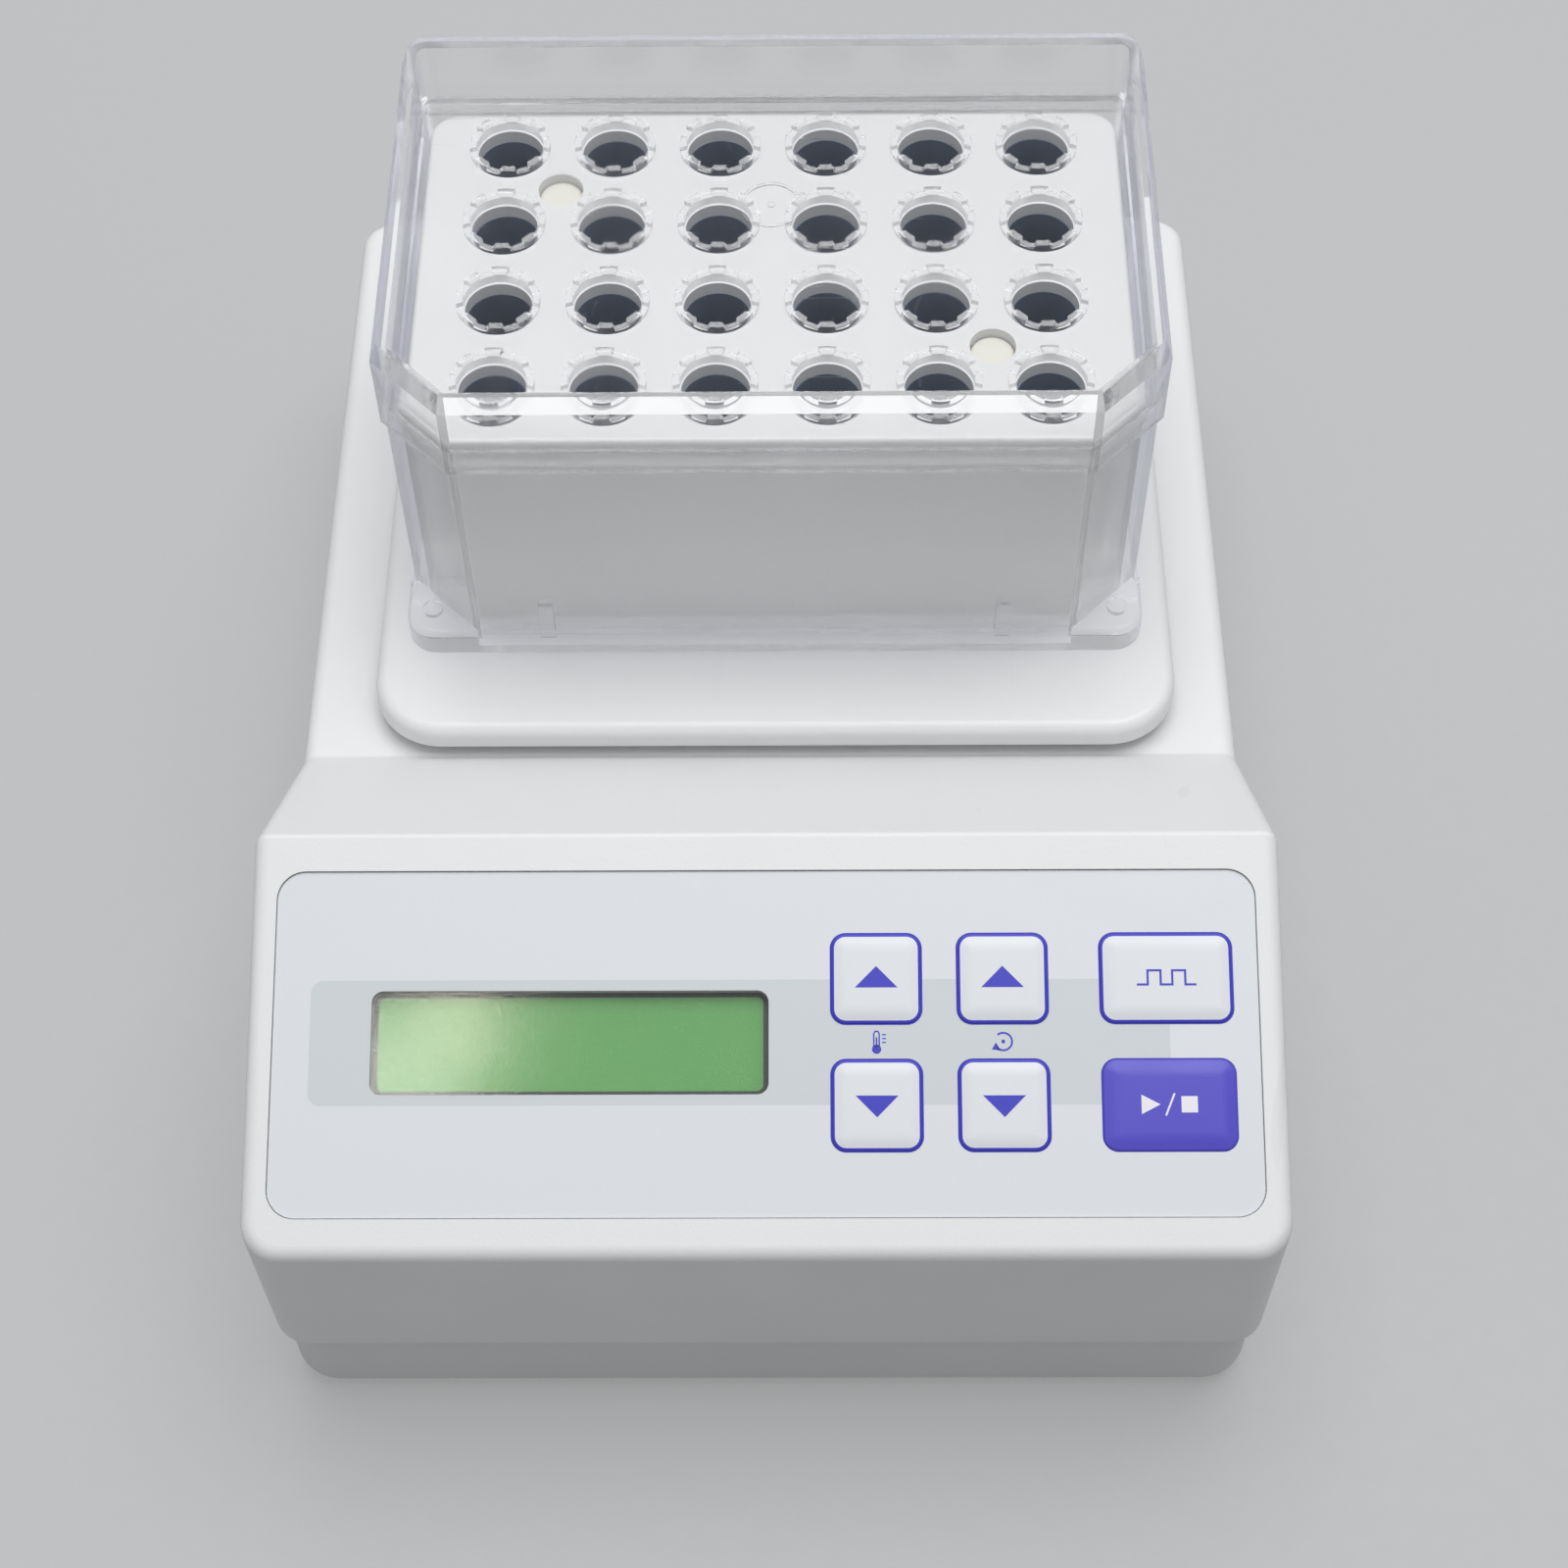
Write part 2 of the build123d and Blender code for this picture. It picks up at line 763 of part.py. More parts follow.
def display_window():
    pane = RectangleRounded(
        display_width + 2 * (window_margin - window_fit),
        display_height + 2 * (window_margin - window_fit),
        display_radius,
    )
    return panel_cut(pane, display_x, 0, -label_pocket - window_thickness, -label_pocket)


def display_glass():
    pane = Rectangle(
        display_width + 2 * display_glass_margin, display_height + 2 * display_glass_margin
    )
    top = -wall - window_fit
    return panel_cut(pane, display_x, 0, top - display_glass_thickness, top)


def display_frame():
    """Light guide that carries the display glass on its board."""
    top = -wall - window_fit - display_glass_thickness
    outer = Rectangle(
        display_width + 3 * display_glass_margin, display_height + 3 * display_glass_margin
    )
    return panel_cut(outer, display_x, 0, panel_board_top, top)


# ---- Wells, block and rack ---------------------------------------------------------------------
def thermoblock():
    outline = chamfered_outline(block_width, block_depth, block_corner, block_corner / 2)
    block = prism(outline, block_z, block_top)
    radius = well_diameter / 2
    tip = well_tip_diameter / 2
    well = make_face(
        Polyline(
            (0, block_top - well_depth),
            (tip, block_top - well_depth),
            (radius, block_top - well_cylinder_depth),
            (radius, block_top),
            (0, block_top),
            close=True,
        )
    )
    well = revolve(Plane.XZ * well, Axis.Z)
    block -= [Pos(x, y, 0) * well for x, y in well_places]
    for x, y in fixing_places:
        block -= disc(plug_diameter + 2 * plug_fit, jacket_top - fixing_head_depth,
                      block_top, x, y)
        block -= disc(fixing_diameter + 2 * fixing_fit, block_z, block_top, x, y)
    block -= disc(sensor_diameter + 2 * plug_fit, block_z, block_z + sensor_reach)
    return table * block


def block_jacket():
    outline = chamfered_outline(jacket_width, jacket_depth, jacket_corner, jacket_rear_radius)
    jacket = prism(outline, cover_top, jacket_top)
    jacket = fillet(level_edges(jacket, jacket_top), jacket_edge_radius)
    hollow = chamfered_outline(
        block_width + 2 * jacket_fit,
        block_depth + 2 * jacket_fit,
        block_corner,
        block_corner / 2,
    )
    jacket -= prism(hollow, cover_top - 1, block_top)
    hole = well_diameter + 2 * well_rim_clearance
    jacket -= [disc(hole, block_top - 1, jacket_top + 1, x, y) for x, y in well_places]
    for x, y in fixing_places:
        jacket -= disc(plug_diameter + 2 * plug_fit, block_top - 1, jacket_top + 1, x, y)
    return table * jacket


def fixing_plugs():
    plug = disc(plug_diameter, 0, plug_length)
    plug = fillet(level_edges(plug, plug_length), 0.6)
    plug -= disc(plug_diameter / 3, -1, plug_length / 2)
    bottom = jacket_top - plug_recess - plug_length
    return [table * (Pos(x, y, bottom) * plug) for x, y in fixing_places]


def fixing_screws():
    seat = jacket_top - fixing_head_depth
    length = seat - carrier_z
    body = screw(
        fixing_diameter - 2 * seat_fit, length, fixing_head_diameter, fixing_head_height, seat
    )
    return [table * (Pos(x, y, 0) * body) for x, y in fixing_places]


def heater_sheet(bottom, top):
    sheet = prism(
        Rectangle(heater_width - 2 * heater_fit, heater_depth - 2 * heater_fit), bottom, top
    )
    for x, y in fixing_places:
        sheet -= disc(fixing_diameter + 2 * fixing_fit, bottom, top, x, y)
    sheet -= disc(sensor_diameter + 2 * plug_fit, bottom, top)
    return table * sheet


def temperature_sensor():
    probe = disc(sensor_diameter, carrier_top, block_z + sensor_reach - plug_fit)
    return table * fillet(probe.edges().group_by(Axis.Z)[-1], 0.8)


def collar():
    """Castellated collar that a tube's lid rests in."""
    ring = disc(collar_diameter, rack_top, rack_top + collar_height)
    slot = Rectangle(collar_diameter + 1, collar_slot_width)
    for i in range(collar_slots):
        cut = Rot(0, 0, 180 / collar_slots * (i + 0.5)) * slot
        ring -= prism(cut, rack_top + collar_height - collar_slot_depth, rack_top + collar_height)
    return ring


def rack_corner_feet():
    """Feet that square off the chamfered front corners, each with a small round pin on top."""
    square = RectangleRounded(
        rack_width + 2 * rack_flange_side, rack_depth + 2 * rack_flange_end, rack_flange_radius
    )
    block = prism(square, rack_z, rack_z + rack_foot_height)
    reach = rack_chamfer + rack_flange_end
    feet = []
    for side in (-1, 1):
        x = side * (rack_width / 2 + rack_flange_side - reach / 2)
        y = -(rack_depth / 2 + rack_flange_end - reach / 2)
        corner = block & box(reach, reach, rack_z, rack_top, x, y)
        corner = fillet(level_edges(corner, rack_z + rack_foot_height), rack_foot_round)
        pin_place = rack_width / 2 - rack_chamfer / 3
        pin_row = -(rack_depth / 2 - rack_chamfer / 3)
        top = rack_z + rack_foot_height
        pin = disc(rack_pin_diameter, top - 1, top + rack_pin_height, side * pin_place, pin_row)
        feet.append(corner + pin)
    return feet


def tube_rack():
    """Clear rack: hood over the block, stepped rim for the lid, collared top and foot flange."""
    shoulder = rack_top - rack_rim_height
    rack = prism(rack_outline(), rack_z, shoulder)
    rack += prism(rack_outline(-rack_rim_inset), shoulder, rack_top)
    flange = RectangleRounded(
        rack_width + 2 * rack_flange_side, rack_depth + 2 * rack_flange_end, rack_flange_radius
    )
    rack += prism(flange, rack_z, rack_z + rack_flange_thickness)
    rack += rack_corner_feet()
    rack -= prism(rack_outline(-rack_wall), rack_z - 1, rack_top - rack_top_thickness)
    inner_front = -(rack_depth / 2 - rack_wall)
    for x in (-rack_rib_x, rack_rib_x):
        rack += box(rack_rib_width, rack_rib_depth * 2, rack_z, rack_z + rack_rib_height,
                    x, inner_front)
    ring = collar()
    rack += [Pos(x, y, 0) * ring for x, y in well_places]
    bore = collar_diameter - 2 * collar_wall
    rack -= [disc(bore, jacket_top, rack_top + collar_height + 1, x, y) for x, y in well_places]
    return table * rack


def lid():
    outer = prism(rack_outline(lid_overhang), lid_skirt_z, lid_skirt_top)
    bevel = loft(
        [
            Pos(0, 0, lid_skirt_top) * rack_outline(lid_overhang),
            Pos(0, 0, lid_top) * rack_outline(lid_overhang - lid_bevel_inset),
        ],
        ruled=True,
    )
    body = outer + bevel
    skirt_hollow = rack_outline(lid_overhang - lid_skirt_wall)
    upper_hollow = rack_outline(lid_overhang - lid_upper_wall)
    body -= prism(skirt_hollow, lid_skirt_z - 1, lid_ledge_z)
    body -= prism(upper_hollow, lid_skirt_z - 1, lid_top - lid_roof)
    ring = disc(gate_ring_diameter, lid_top, lid_top + gate_ring_height)
    ring -= disc(gate_ring_diameter - 2 * gate_ring_width, lid_top, lid_top + gate_ring_height)
    dot = disc(gate_dot_diameter, lid_top, lid_top + gate_ring_height)
    return table * (body + ring + dot)


# ---- Mixing table and drive --------------------------------------------------------------------
def table_cover():
    cover = prism(RectangleRounded(cover_width, cover_depth, cover_radius), cover_z, cover_top)
    cover = fillet(level_edges(cover, cover_top), cover_edge_radius)
    cavity = RectangleRounded(
        cover_width - 2 * cover_wall, cover_depth - 2 * cover_wall, cover_radius - cover_wall
    )
    cover -= prism(cavity, cover_z - 1, carrier_top)
    return table * (cover - box(heater_width, heater_depth, cover_z, cover_top + 1))


def rib(x, y, width, bottom, top):
    """Upright rib from the drive axis to the place (x, y)."""
    length = hypot(x, y)
    angle = degrees(atan2(y, x))
    return Rot(0, 0, angle) * box(length, width, bottom, top, length / 2, 0)


def table_carrier():
    """Cast plate with a hub for the eccentric's bearing and four bosses for the idlers'."""
    margin = cover_wall + heater_fit
    plate = RectangleRounded(
        cover_width - 2 * margin, cover_depth - 2 * margin, cover_radius - margin
    )
    carrier = prism(plate, carrier_z, carrier_top)
    carrier += disc(carrier_hub_diameter, carrier_hub_z, carrier_z)
    for x, y in idler_places:
        carrier += disc(carrier_boss_diameter, idler_upper_z - axial_gap / 4, carrier_z, x, y)
        carrier += rib(x, y, carrier_rib_width, carrier_z - carrier_rib_depth, carrier_z)
    carrier -= disc(main_bearing_outer, carrier_hub_z - 1, carrier_z)
    for x, y in idler_places:
        seat_top = idler_upper_z + idler_bearing_width
        carrier -= disc(idler_bearing_outer, idler_upper_z - 1, seat_top, x, y)
    for x, y in fixing_places:
        carrier -= disc(fixing_diameter, carrier_z - carrier_rib_depth, carrier_top, x, y)
    return table * carrier


def table_bearing():
    return table * bearing(
        shaft_diameter + 2 * running_fit, main_bearing_outer - 2 * seat_fit,
        main_bearing_width, table_bearing_z
    )


def idler_bearings(frame, bottom):
    ring = bearing(
        idler_journal + 2 * running_fit, idler_bearing_outer - 2 * seat_fit,
        idler_bearing_width, bottom
    )
    return [frame * (Pos(x, y, 0) * ring) for x, y in idler_places]


def idler_crank(x, y):
    """Small crank with two parallel journals, as far apart as the drive's eccentric."""
    web_z = chassis_post_top + axial_gap
    web_top = web_z + idler_web_height
    lower = disc(idler_journal, idler_lower_z, web_z)
    web = disc(idler_web_diameter, web_z, web_top, pin_x / 2, pin_y / 2)
    upper_end = idler_upper_z + idler_bearing_width - axial_gap
    upper = disc(idler_journal, web_top, upper_end, pin_x, pin_y)
    return drive * (Pos(x, y, 0) * (lower + web + upper))


def drive_shaft():
    tail_end = tail_bearing_z + axial_gap
    step = tail_bearing_z + tail_bearing_width
    flange_top = eccentric_flange_z + eccentric_flange_height
    journal_end = table_bearing_z + main_bearing_width - axial_gap / 2
    shaft = disc(tail_journal, tail_end, step)
    shaft += disc(shaft_diameter, step, eccentric_flange_z)
    shaft += disc(eccentric_flange_diameter, eccentric_flange_z, flange_top)
    shaft += disc(shaft_diameter, flange_top, journal_end, pin_x, pin_y)
    return drive * shaft


def counterweight():
    """Half disc opposite the eccentric, on a hub around the shaft."""
    top = counterweight_z + counterweight_height
    half = disc(2 * counterweight_radius, counterweight_z, top)
    half &= box(2 * counterweight_radius, counterweight_radius, counterweight_z, top,
                0, counterweight_radius / 2)
    weight = Rot(0, 0, rest_phase + 90) * half
    weight += disc(counterweight_hub, counterweight_z, top)
    weight -= disc(shaft_diameter + 2 * seat_fit, counterweight_z, top)
    return drive * weight


def chassis():
    """Cast plate with the main bearing's boss, four idler posts and ribs between them."""
    plate = RectangleRounded(chassis_width, chassis_depth, chassis_radius)
    body = prism(plate, chassis_z, chassis_top)
    body += disc(chassis_boss_diameter, chassis_top, chassis_boss_top)
    for x, y in idler_places:
        body += disc(chassis_post_diameter, chassis_top, chassis_post_top, x, y)
        body += rib(x, y, chassis_rib_width, chassis_top, chassis_top + chassis_rib_height)
    body -= disc(main_bearing_outer, main_bearing_z, chassis_boss_top)
    body -= disc(main_bearing_outer - 2 * bearing_shoulder, chassis_z, main_bearing_z)
    for x, y in idler_places:
        body -= disc(idler_bearing_outer, idler_lower_z, chassis_post_top, x, y)
        body -= disc(idler_bearing_outer - 2 * bearing_shoulder, chassis_z, idler_lower_z, x, y)
    for x, y in chassis_screw_places():
        body -= disc(chassis_screw_diameter + head_clearance, chassis_z, chassis_top, x, y)
    for x, y in motor_screw_places():
        body -= disc(motor_screw_diameter + head_clearance, chassis_z, chassis_top, x, y)
    return drive * body


def crossed(x, y):
    return [(x, 0), (-x, 0), (0, y), (0, -y)]


def chassis_screw_places():
    return crossed(chassis_screw_x, chassis_screw_y)


def motor_screw_places():
    return crossed(motor_screw_circle, motor_screw_circle)


def chassis_screws():
    body = screw(
        chassis_screw_diameter - 2 * seat_fit, chassis_screw_length, chassis_head_diameter,
        chassis_head_height, chassis_top
    )
    return [drive * (Pos(x, y, 0) * body) for x, y in chassis_screw_places()]


def motor_screws():
    body = screw(
        motor_screw_diameter - 2 * seat_fit, chassis_thickness + motor_ring_height,
        motor_head_diameter, motor_head_height, chassis_top
    )
    return [drive * (Pos(x, y, 0) * body) for x, y in motor_screw_places()]


def main_bearing():
    return drive * bearing(
        shaft_diameter + 2 * running_fit, main_bearing_outer - 2 * seat_fit,
        main_bearing_width, main_bearing_z
    )


def tail_bearing():
    return drive * bearing(
        tail_journal + 2 * running_fit, tail_bearing_outer - 2 * seat_fit,
        tail_bearing_width, tail_bearing_z
    )


def motor_can():
    can = disc(motor_diameter, motor_z, chassis_z)
    can = fillet(level_edges(can, motor_z), motor_edge_radius)
    can -= disc(motor_diameter - 2 * motor_wall, motor_z + motor_floor, chassis_z)
    ring = disc(motor_diameter, chassis_z - motor_ring_height, chassis_z)
    ring -= disc(motor_diameter - 2 * motor_ring_width, motor_z, chassis_z)
    can += ring
    can += disc(tail_bearing_outer + 2 * motor_wall, motor_z,
                tail_bearing_z + tail_bearing_width - axial_gap)
    can -= disc(tail_bearing_outer, tail_bearing_z, chassis_z)
    for x, y in motor_screw_places():
        can -= disc(motor_screw_diameter, chassis_z - motor_ring_height, chassis_z, x, y)
    return drive * can


def around(count, shape):
    """Copies of a shape turned evenly around the drive axis."""
    return [Rot(0, 0, 360 / count * i) * shape for i in range(count)]


def tooth_layout():
    """Inner face radius and root radius of the stator's teeth."""
    inner = rotor_diameter / 2 + air_gap
    return inner, stator_diameter / 2 - stator_yoke


def stator_core():
    inner, root = tooth_layout()
    top = stator_z + stator_height
    core = disc(stator_diameter, stator_z, top) - disc(2 * root, stator_z, top)
    length = root + 1 - inner
    tooth = box(length, stator_tooth_width, stator_z, top, inner + length / 2, 0)
    tooth += box(2 * stator_shoe_depth, stator_shoe_width, stator_z, top, inner + 0.4, 0)
    core += around(stator_teeth, tooth)
    return drive * (core - disc(2 * inner, stator_z, top))


def stator_coils():
    inner, root = tooth_layout()
    near = inner + stator_shoe_depth + coil_margin
    far = root - coil_margin
    low = stator_z - coil_clearance
    high = stator_z + stator_height + coil_clearance
    width = stator_tooth_width + 2 * coil_clearance
    middle = (near + far) / 2
    coil = box(far - near, width + 2 * coil_wire, low - coil_wire, high + coil_wire, middle, 0)
    coil -= box(far - near, width, low, high, middle, 0)
    return [drive * c for c in around(stator_teeth, coil)]


def motor_rotor():
    rotor = disc(rotor_diameter, stator_z, stator_z + stator_height)
    rotor -= disc(shaft_diameter + 2 * seat_fit, stator_z, stator_z + stator_height)
    return drive * rotor


# ---- Electronics -------------------------------------------------------------------------------
def board_corner_places(center_x, width):
    half_x = width / 2 - board_hole_inset
    half_y = board_depth / 2 - board_hole_inset
    return [(center_x + x, board_y + y) for x, y in corners(half_x, half_y)]


def board_hole_places():
    return board_corner_places(supply_x, supply_width) + board_corner_places(logic_x, logic_width)


def circuit_board(center_x, width):
    board = box(width, board_depth, board_z, board_top, center_x, board_y)
    for x, y in board_corner_places(center_x, width):
        board -= disc(board_screw_diameter + head_clearance, board_z, board_top, x, y)
    return board


def on_board(width, depth, height, x, y):
    return box(width, depth, board_top, board_top + height, x, board_y + y)


def logic_board():
    """Controller board with its processor, motor driver and connectors."""
    board = circuit_board(logic_x, logic_width)
    board += on_board(processor_size, processor_size, processor_height,
                      logic_x + processor_x, processor_y)
    board += on_board(driver_width, driver_depth, driver_height, logic_x + driver_x, driver_y)
    edge = board_depth / 2 - connector_inset
    board += on_board(panel_connector_width, connector_depth, connector_height,
                      logic_x + panel_connector_x, edge)
    board += on_board(motor_connector_width, connector_depth, connector_height,
                      logic_x + motor_connector_x, -edge)
    return board


def power_supply():
    """Supply board with its transformer, choke and capacitor."""
    board = circuit_board(supply_x, supply_width)
    board += on_board(transformer_width, transformer_depth, transformer_height,
                      supply_x + transformer_x, transformer_y)
    board += on_board(choke_width, choke_depth, choke_height, supply_x + choke_x, choke_y)
    board += disc(capacitor_diameter, board_top, board_top + capacitor_height,
                  supply_x + capacitor_x, board_y + capacitor_y)
    return board


def heat_sink():
    """Finned extrusion that stands on the supply board."""
    x = supply_x + sink_x
    sink = on_board(sink_width, sink_plate, sink_height, x, sink_y)
    pitch = (sink_width - sink_fin_thickness) / (sink_fins - 1)
    for i in range(sink_fins):
        fin_x = x + (i - (sink_fins - 1) / 2) * pitch
        fin_y = sink_y - (sink_plate + sink_fin_depth) / 2
        sink += on_board(sink_fin_thickness, sink_fin_depth, sink_height, fin_x, fin_y)
    return sink


def board_screws():
    body = screw(
        board_screw_diameter - 2 * seat_fit, board_screw_length, board_head_diameter,
        board_head_height, board_top
    )
    return [Pos(x, y, 0) * body for x, y in board_hole_places()]


# ---- Rear panel --------------------------------------------------------------------------------
def power_inlet():
    """Appliance inlet: flange flush in its recess, keyed socket, closed back."""
    shell = rear_block(
        inlet_flange_width, inlet_flange_height, inlet_x, wall_draft, rear_recess,
        inlet_flange_radius
    )
    shell += rear_block(inlet_body_width, inlet_body_height, inlet_x, wall_draft, inlet_body_depth)
    inner_width = inlet_body_width - 2 * inlet_wall
    inner_height = inlet_body_height - 2 * inlet_wall
    sketch = Rectangle(inner_width, inner_height)
    sketch = chamfer(sketch.vertices().group_by(Axis.Y)[-1], inlet_corner)
    plane = Plane(origin=(inlet_x, rear_y, rear_center_z), x_dir=(-1, 0, 0), z_dir=(0, 1, 0))
    depth = inlet_body_depth - inlet_wall
    return shell - extrude(plane * sketch, -depth)


def inlet_pin_places():
    drop = -inlet_pin_drop
    return [(-inlet_pin_spread, drop), (inlet_pin_spread, drop), (0, inlet_pin_drop)]


def inlet_pins():
    pins = []
    back = inlet_body_depth - inlet_wall
    for x, z in inlet_pin_places():
        plane = Plane(
            origin=(inlet_x + x, rear_y - back, rear_center_z + z), x_dir=(-1, 0, 0), z_dir=(0, 1, 0)
        )
        length = back - inlet_pin_setback
        pins.append(extrude(plane * Rectangle(inlet_pin_width, inlet_pin_height), length))
    return pins


def rocker_switch_body():
    body = rear_block(
        rocker_frame_width, rocker_frame_height, rocker_x, wall_draft, rear_recess,
        rocker_frame_radius
    )
    body += rear_block(rocker_body_width, rocker_body_height, rocker_x, wall_draft, rocker_body_depth)
    body -= rear_block(
        rocker_width + 2 * rocker_gap, rocker_height + 2 * rocker_gap, rocker_x, -1,
        rocker_pocket_depth
    )
    pivot = Plane(
        origin=(rocker_x, rear_y - rear_recess - rocker_pivot_depth, rear_center_z),
        x_dir=(0, 1, 0), z_dir=(1, 0, 0)
    )
    reach = rocker_width / 2 + rocker_pivot_reach + rocker_gap
    hole = Circle(rocker_pivot_diameter / 2 + running_fit)
    return body - extrude(pivot * hole, reach, both=True)


def rocker():
    """Rocking key with a dished face, on a pin across the switch body."""
    pivot_y = rear_y - rear_recess - rocker_pivot_depth
    plane = Plane(origin=(rocker_x, pivot_y, rear_center_z), x_dir=(0, 1, 0), z_dir=(1, 0, 0))
    half = rocker_height / 2
    front = rear_recess + rocker_pivot_depth - wall_draft
    lean = half * sin(radians(rocker_tilt))
    side = make_face(
        Polyline(
            (-rocker_back, 0), (0, half - rocker_gap), (front - lean, half - rocker_gap),
            (front - 2 * lean, 0), (front - lean, rocker_gap - half), (0, rocker_gap - half),
            close=True,
        )
    )
    key = extrude(plane * side, rocker_width / 2, both=True)
    pin = Circle(rocker_pivot_diameter / 2)
    return key + extrude(plane * pin, rocker_width / 2 + rocker_pivot_reach, both=True)


# ---- Nodes -------------------------------------------------------------------------------------
def group(solids):
    return Compound(children=list(solids))


nodes = {
    "base_pan": base_pan(),
    "rubber_feet": group(rubber_feet()),
    "case_screws": group(case_screws()),
    "upper_housing": upper_housing(),
    "front_label": front_label(),
    "display_window": display_window(),
    "display_glass": display_glass(),
    "display_frame": display_frame(),
    "panel_board": panel_board(),
    "key_switches": group(key_switches()),
    "thermoblock": thermoblock(),
    "block_jacket": block_jacket(),
    "fixing_plugs": group(fixing_plugs()),
    "fixing_screws": group(fixing_screws()),
    "insulation_pad": heater_sheet(carrier_top, cover_top - heater_foil + heater_fit),
    "heater_foil": heater_sheet(cover_top - heater_foil + heater_fit, block_z),
    "temperature_sensor": temperature_sensor(),
    "tube_rack": tube_rack(),
    "lid": lid(),
    "table_cover": table_cover(),
    "table_carrier": table_carrier(),
    "table_bearing": table_bearing(),
    "idler_upper_bearings": group(idler_bearings(table, idler_upper_z)),
    "idler_lower_bearings": group(idler_bearings(drive, idler_lower_z)),
    "drive_shaft": drive_shaft(),
    "counterweight": counterweight(),
    "motor_rotor": motor_rotor(),
    "chassis": chassis(),
    "chassis_screws": group(chassis_screws()),
    "main_bearing": main_bearing(),
    "tail_bearing": tail_bearing(),
    "motor_can": motor_can(),
    "motor_screws": group(motor_screws()),
    "stator_core": stator_core(),
    "stator_coils": group(stator_coils()),
    "logic_board": logic_board(),
    "power_supply": power_supply(),
    "heat_sink": heat_sink(),
    "board_screws": group(board_screws()),
    "power_inlet": power_inlet(),
    "inlet_pins": group(inlet_pins()),
    "power_switch_body": rocker_switch_body(),
    "power_rocker": rocker(),
}
for number, (x, y) in enumerate(idler_places, start=1):
    nodes[f"idler_crank_{number}"] = idler_crank(x, y)
for name, (x, y, width) in keys.items():
    nodes[name] = key_cap(x, y, width)

os.makedirs("parts", exist_ok=True)
for name, shape in nodes.items():
    export_step(shape, f"parts/{name}.step")
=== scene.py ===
"""Finishes, key domes and panel print for the bench thermal mixer. Metres, in the part's own frame."""

import json
from math import atan2, cos, pi, radians, sin

import bpy
from mathutils import Matrix, Vector


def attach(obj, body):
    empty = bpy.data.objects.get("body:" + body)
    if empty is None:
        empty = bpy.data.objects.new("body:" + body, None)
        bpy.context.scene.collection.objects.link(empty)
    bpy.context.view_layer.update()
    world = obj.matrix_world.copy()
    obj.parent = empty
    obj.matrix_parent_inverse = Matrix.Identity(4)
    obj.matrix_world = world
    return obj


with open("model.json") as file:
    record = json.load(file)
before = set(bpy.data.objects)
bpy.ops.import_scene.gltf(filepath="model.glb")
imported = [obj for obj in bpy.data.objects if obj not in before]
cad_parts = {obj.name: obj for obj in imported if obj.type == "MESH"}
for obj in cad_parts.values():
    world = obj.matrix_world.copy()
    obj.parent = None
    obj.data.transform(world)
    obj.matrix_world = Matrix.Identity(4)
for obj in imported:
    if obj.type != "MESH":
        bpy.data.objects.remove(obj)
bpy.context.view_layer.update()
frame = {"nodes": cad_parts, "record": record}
scene = bpy.context.scene
MM = 0.001


# ---- Camera ------------------------------------------------------------------------------------
camera_data = bpy.data.cameras.new("camera")
camera_data.sensor_fit = "HORIZONTAL"
camera_data.sensor_width = 36
camera_data.lens = 65.68
camera_data.clip_start = 0.01
camera_data.clip_end = 50
camera = bpy.data.objects.new("camera", camera_data)
scene.collection.objects.link(camera)
camera.matrix_world = Matrix(
    (
        (0.99995377, 0.00336190, 0.00900860, 0.00696),
        (0.00223612, 0.82989491, -0.55791526, -0.29403),
        (-0.00935185, 0.55790962, 0.82984902, 0.45398),
        (0, 0, 0, 1),
    )
)
scene.camera = camera
scene.view_settings.view_transform = "Standard"


